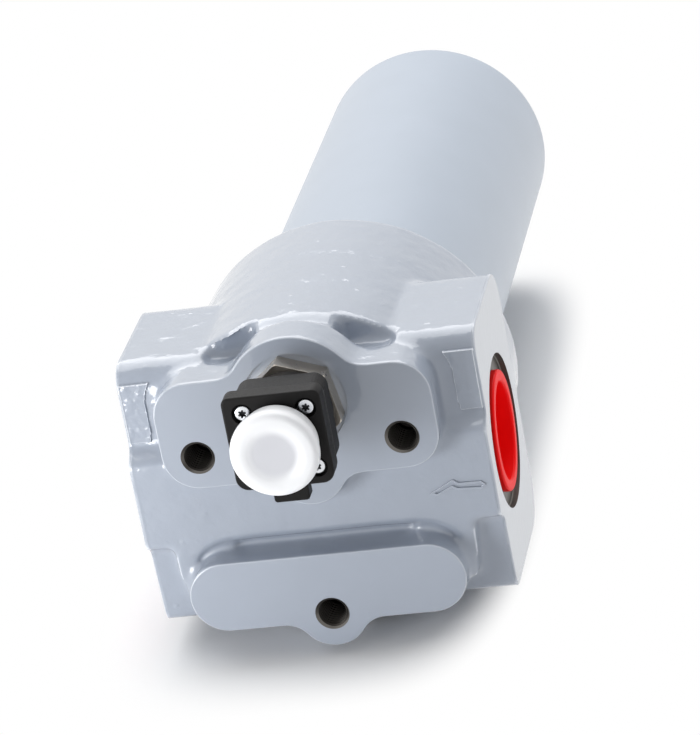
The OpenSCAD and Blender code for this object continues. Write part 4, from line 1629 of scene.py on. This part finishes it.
@dataclass
class Studio:
    """Floor, lamps, world and the camera of the photograph, in which the filter lies on its back.

    The floor is its own white where it takes the shadow, within a rounded field, and turns to pure white
    outside of it; the field's centre and reach are in metres along X and Z.
    """

    floor_y: float = -63.6
    floor_size: float = 12.0
    floor_white: float = 0.86
    camera_at: Corner = (326.14, 601.67, 1342.36)
    camera_turn: Corner = (-23.729, 8.446, -10.234)
    lens: float = 203.08
    sensor: float = 36.0
    clip: Point = (0.05, 20.0)
    world_light: float = 0.45
    world_white: float = 1.0
    shadow_centre: Point = (-0.018, -0.175)
    shadow_reach: Point = (0.066, 0.17)
    shadow_power: float = 4.0
    white_from: float = 1.02
    white_at: float = 1.3
    lamps: tuple[Lamp, ...] = (
        Lamp("key", (-0.3, 1.25, -0.75), 1.7, 21.5),
        Lamp("left", (-0.25, -0.03, 0.25), 0.2, 1.25),
        Lamp("right", (1.05, 0.2, -0.4), 0.6, 2.4, mirrored=False),
        Lamp("top", (-0.12, 1.1, 0.35), 0.6, 1.0, mirrored=False),
    )

    def camera(self) -> None:
        """Puts the camera where the photograph was taken from."""
        data = bpy.data.cameras.new("camera")
        data.lens, data.sensor_width = self.lens, self.sensor
        data.clip_start, data.clip_end = self.clip
        made = bpy.data.objects.new("camera", data)
        made.location = Vector(self.camera_at) * MM
        made.rotation_euler = Euler([math.radians(a) for a in self.camera_turn], "XYZ")
        bpy.context.scene.collection.objects.link(made)
        bpy.context.scene.camera = made

    @staticmethod
    def seen(tree: Tree) -> Socket:
        """Returns a socket that is 1 for what is seen straight, in a mirror or through glass, and else 0."""
        path = add_node(tree, "LightPath").outputs
        ray = calc(tree, "MAXIMUM", path["Is Camera Ray"], path["Is Glossy Ray"])
        return calc(tree, "MAXIMUM", ray, path["Is Transmission Ray"])

    def world(self) -> None:
        """Makes a pale world that lights evenly and is white where the camera or a mirror sees it."""
        world = bpy.data.worlds.new("studio")
        bpy.context.scene.world = world
        tree = emptied(world)
        soft = add_node(tree, "Background", {"Color": (0.97, 0.98, 1.0, 1.0), "Strength": self.world_light})
        white = add_node(tree, "Background", {"Color": (1.0, 1.0, 1.0, 1.0), "Strength": self.world_white})
        both = add_node(tree, "MixShader", {0: self.seen(tree), 1: soft.outputs[0], 2: white.outputs[0]})
        add_node(tree, "OutputWorld", {"Surface": both.outputs[0]})

    def floor_finish(self) -> bpy.types.Material:
        """Makes the matt white finish of the floor, which shows shadows and is clear from behind."""
        made = bpy.data.materials.new("matt_white_floor")
        tree = emptied(made)
        matt = add_node(tree, "BsdfDiffuse", {"Color": (*[self.floor_white] * 3, 1.0)})
        parts = add_node(tree, "SeparateXYZ", {0: add_node(tree, "TexCoord").outputs["Object"]}).outputs
        powers = []
        for axis, middle, half in zip("XZ", self.shadow_centre, self.shadow_reach):
            off = calc(tree, "ABSOLUTE", calc(tree, "MULTIPLY_ADD", parts[axis], 1 / half, -middle / half))
            powers.append(calc(tree, "POWER", off, self.shadow_power))
        away = calc(tree, "POWER", calc(tree, "ADD", *powers), 1 / self.shadow_power)
        lift = ramp(tree, away, (self.white_from, self.white_at), smooth=True)
        share = calc(tree, "MULTIPLY", self.seen(tree), lift)
        white = add_node(tree, "Emission", {"Color": (1.0, 1.0, 1.0, 1.0), "Strength": 1.0})
        lit = add_node(tree, "MixShader", {0: share, 1: matt.outputs[0], 2: white.outputs[0]}).outputs[0]
        behind = add_node(tree, "NewGeometry").outputs["Backfacing"]
        clear = add_node(tree, "BsdfTransparent").outputs[0]
        surface = add_node(tree, "MixShader", {0: behind, 1: lit, 2: clear}).outputs[0]
        add_node(tree, "OutputMaterial", {"Surface": surface})
        return made

    def floor(self) -> None:
        """Lays the floor under the filter, facing +Y."""
        place = Matrix.Translation((0, self.floor_y * MM, 0)) @ Matrix.Rotation(-math.pi / 2, 4, "X")
        bm = bmesh.new()
        bmesh.ops.create_grid(bm, x_segments=1, y_segments=1, size=self.floor_size / 2, matrix=place)
        mesh = bpy.data.meshes.new("floor")
        bm.to_mesh(mesh)
        bm.free()
        mesh.materials.append(self.floor_finish())
        made = bpy.data.objects.new("floor", mesh)
        bpy.context.scene.collection.objects.link(made)
        made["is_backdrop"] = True

    def build(self) -> None:
        """Sets the whole studio up."""
        self.camera()
        self.world()
        self.floor()
        for lamp in self.lamps:
            lamp.hang()
        bpy.context.scene.view_settings.view_transform = "Standard"


def main() -> None:
    """Builds every piece in order."""
    logging.basicConfig(level=logging.INFO, format="%(message)s")
    Studio().build()
    indicator, bowl = Indicator(), PressureBowl()
    HeadCasting(indicator, bowl).build()
    indicator.build()
    PortPlugs().build()
    bowl.build()
    for spring in SPRINGS:
        spring.build()
    dress_nodes()
    [[list(corner) for corner in box] for box in (CAD_BOX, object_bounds())]


if __name__ == "__main__":
    main()
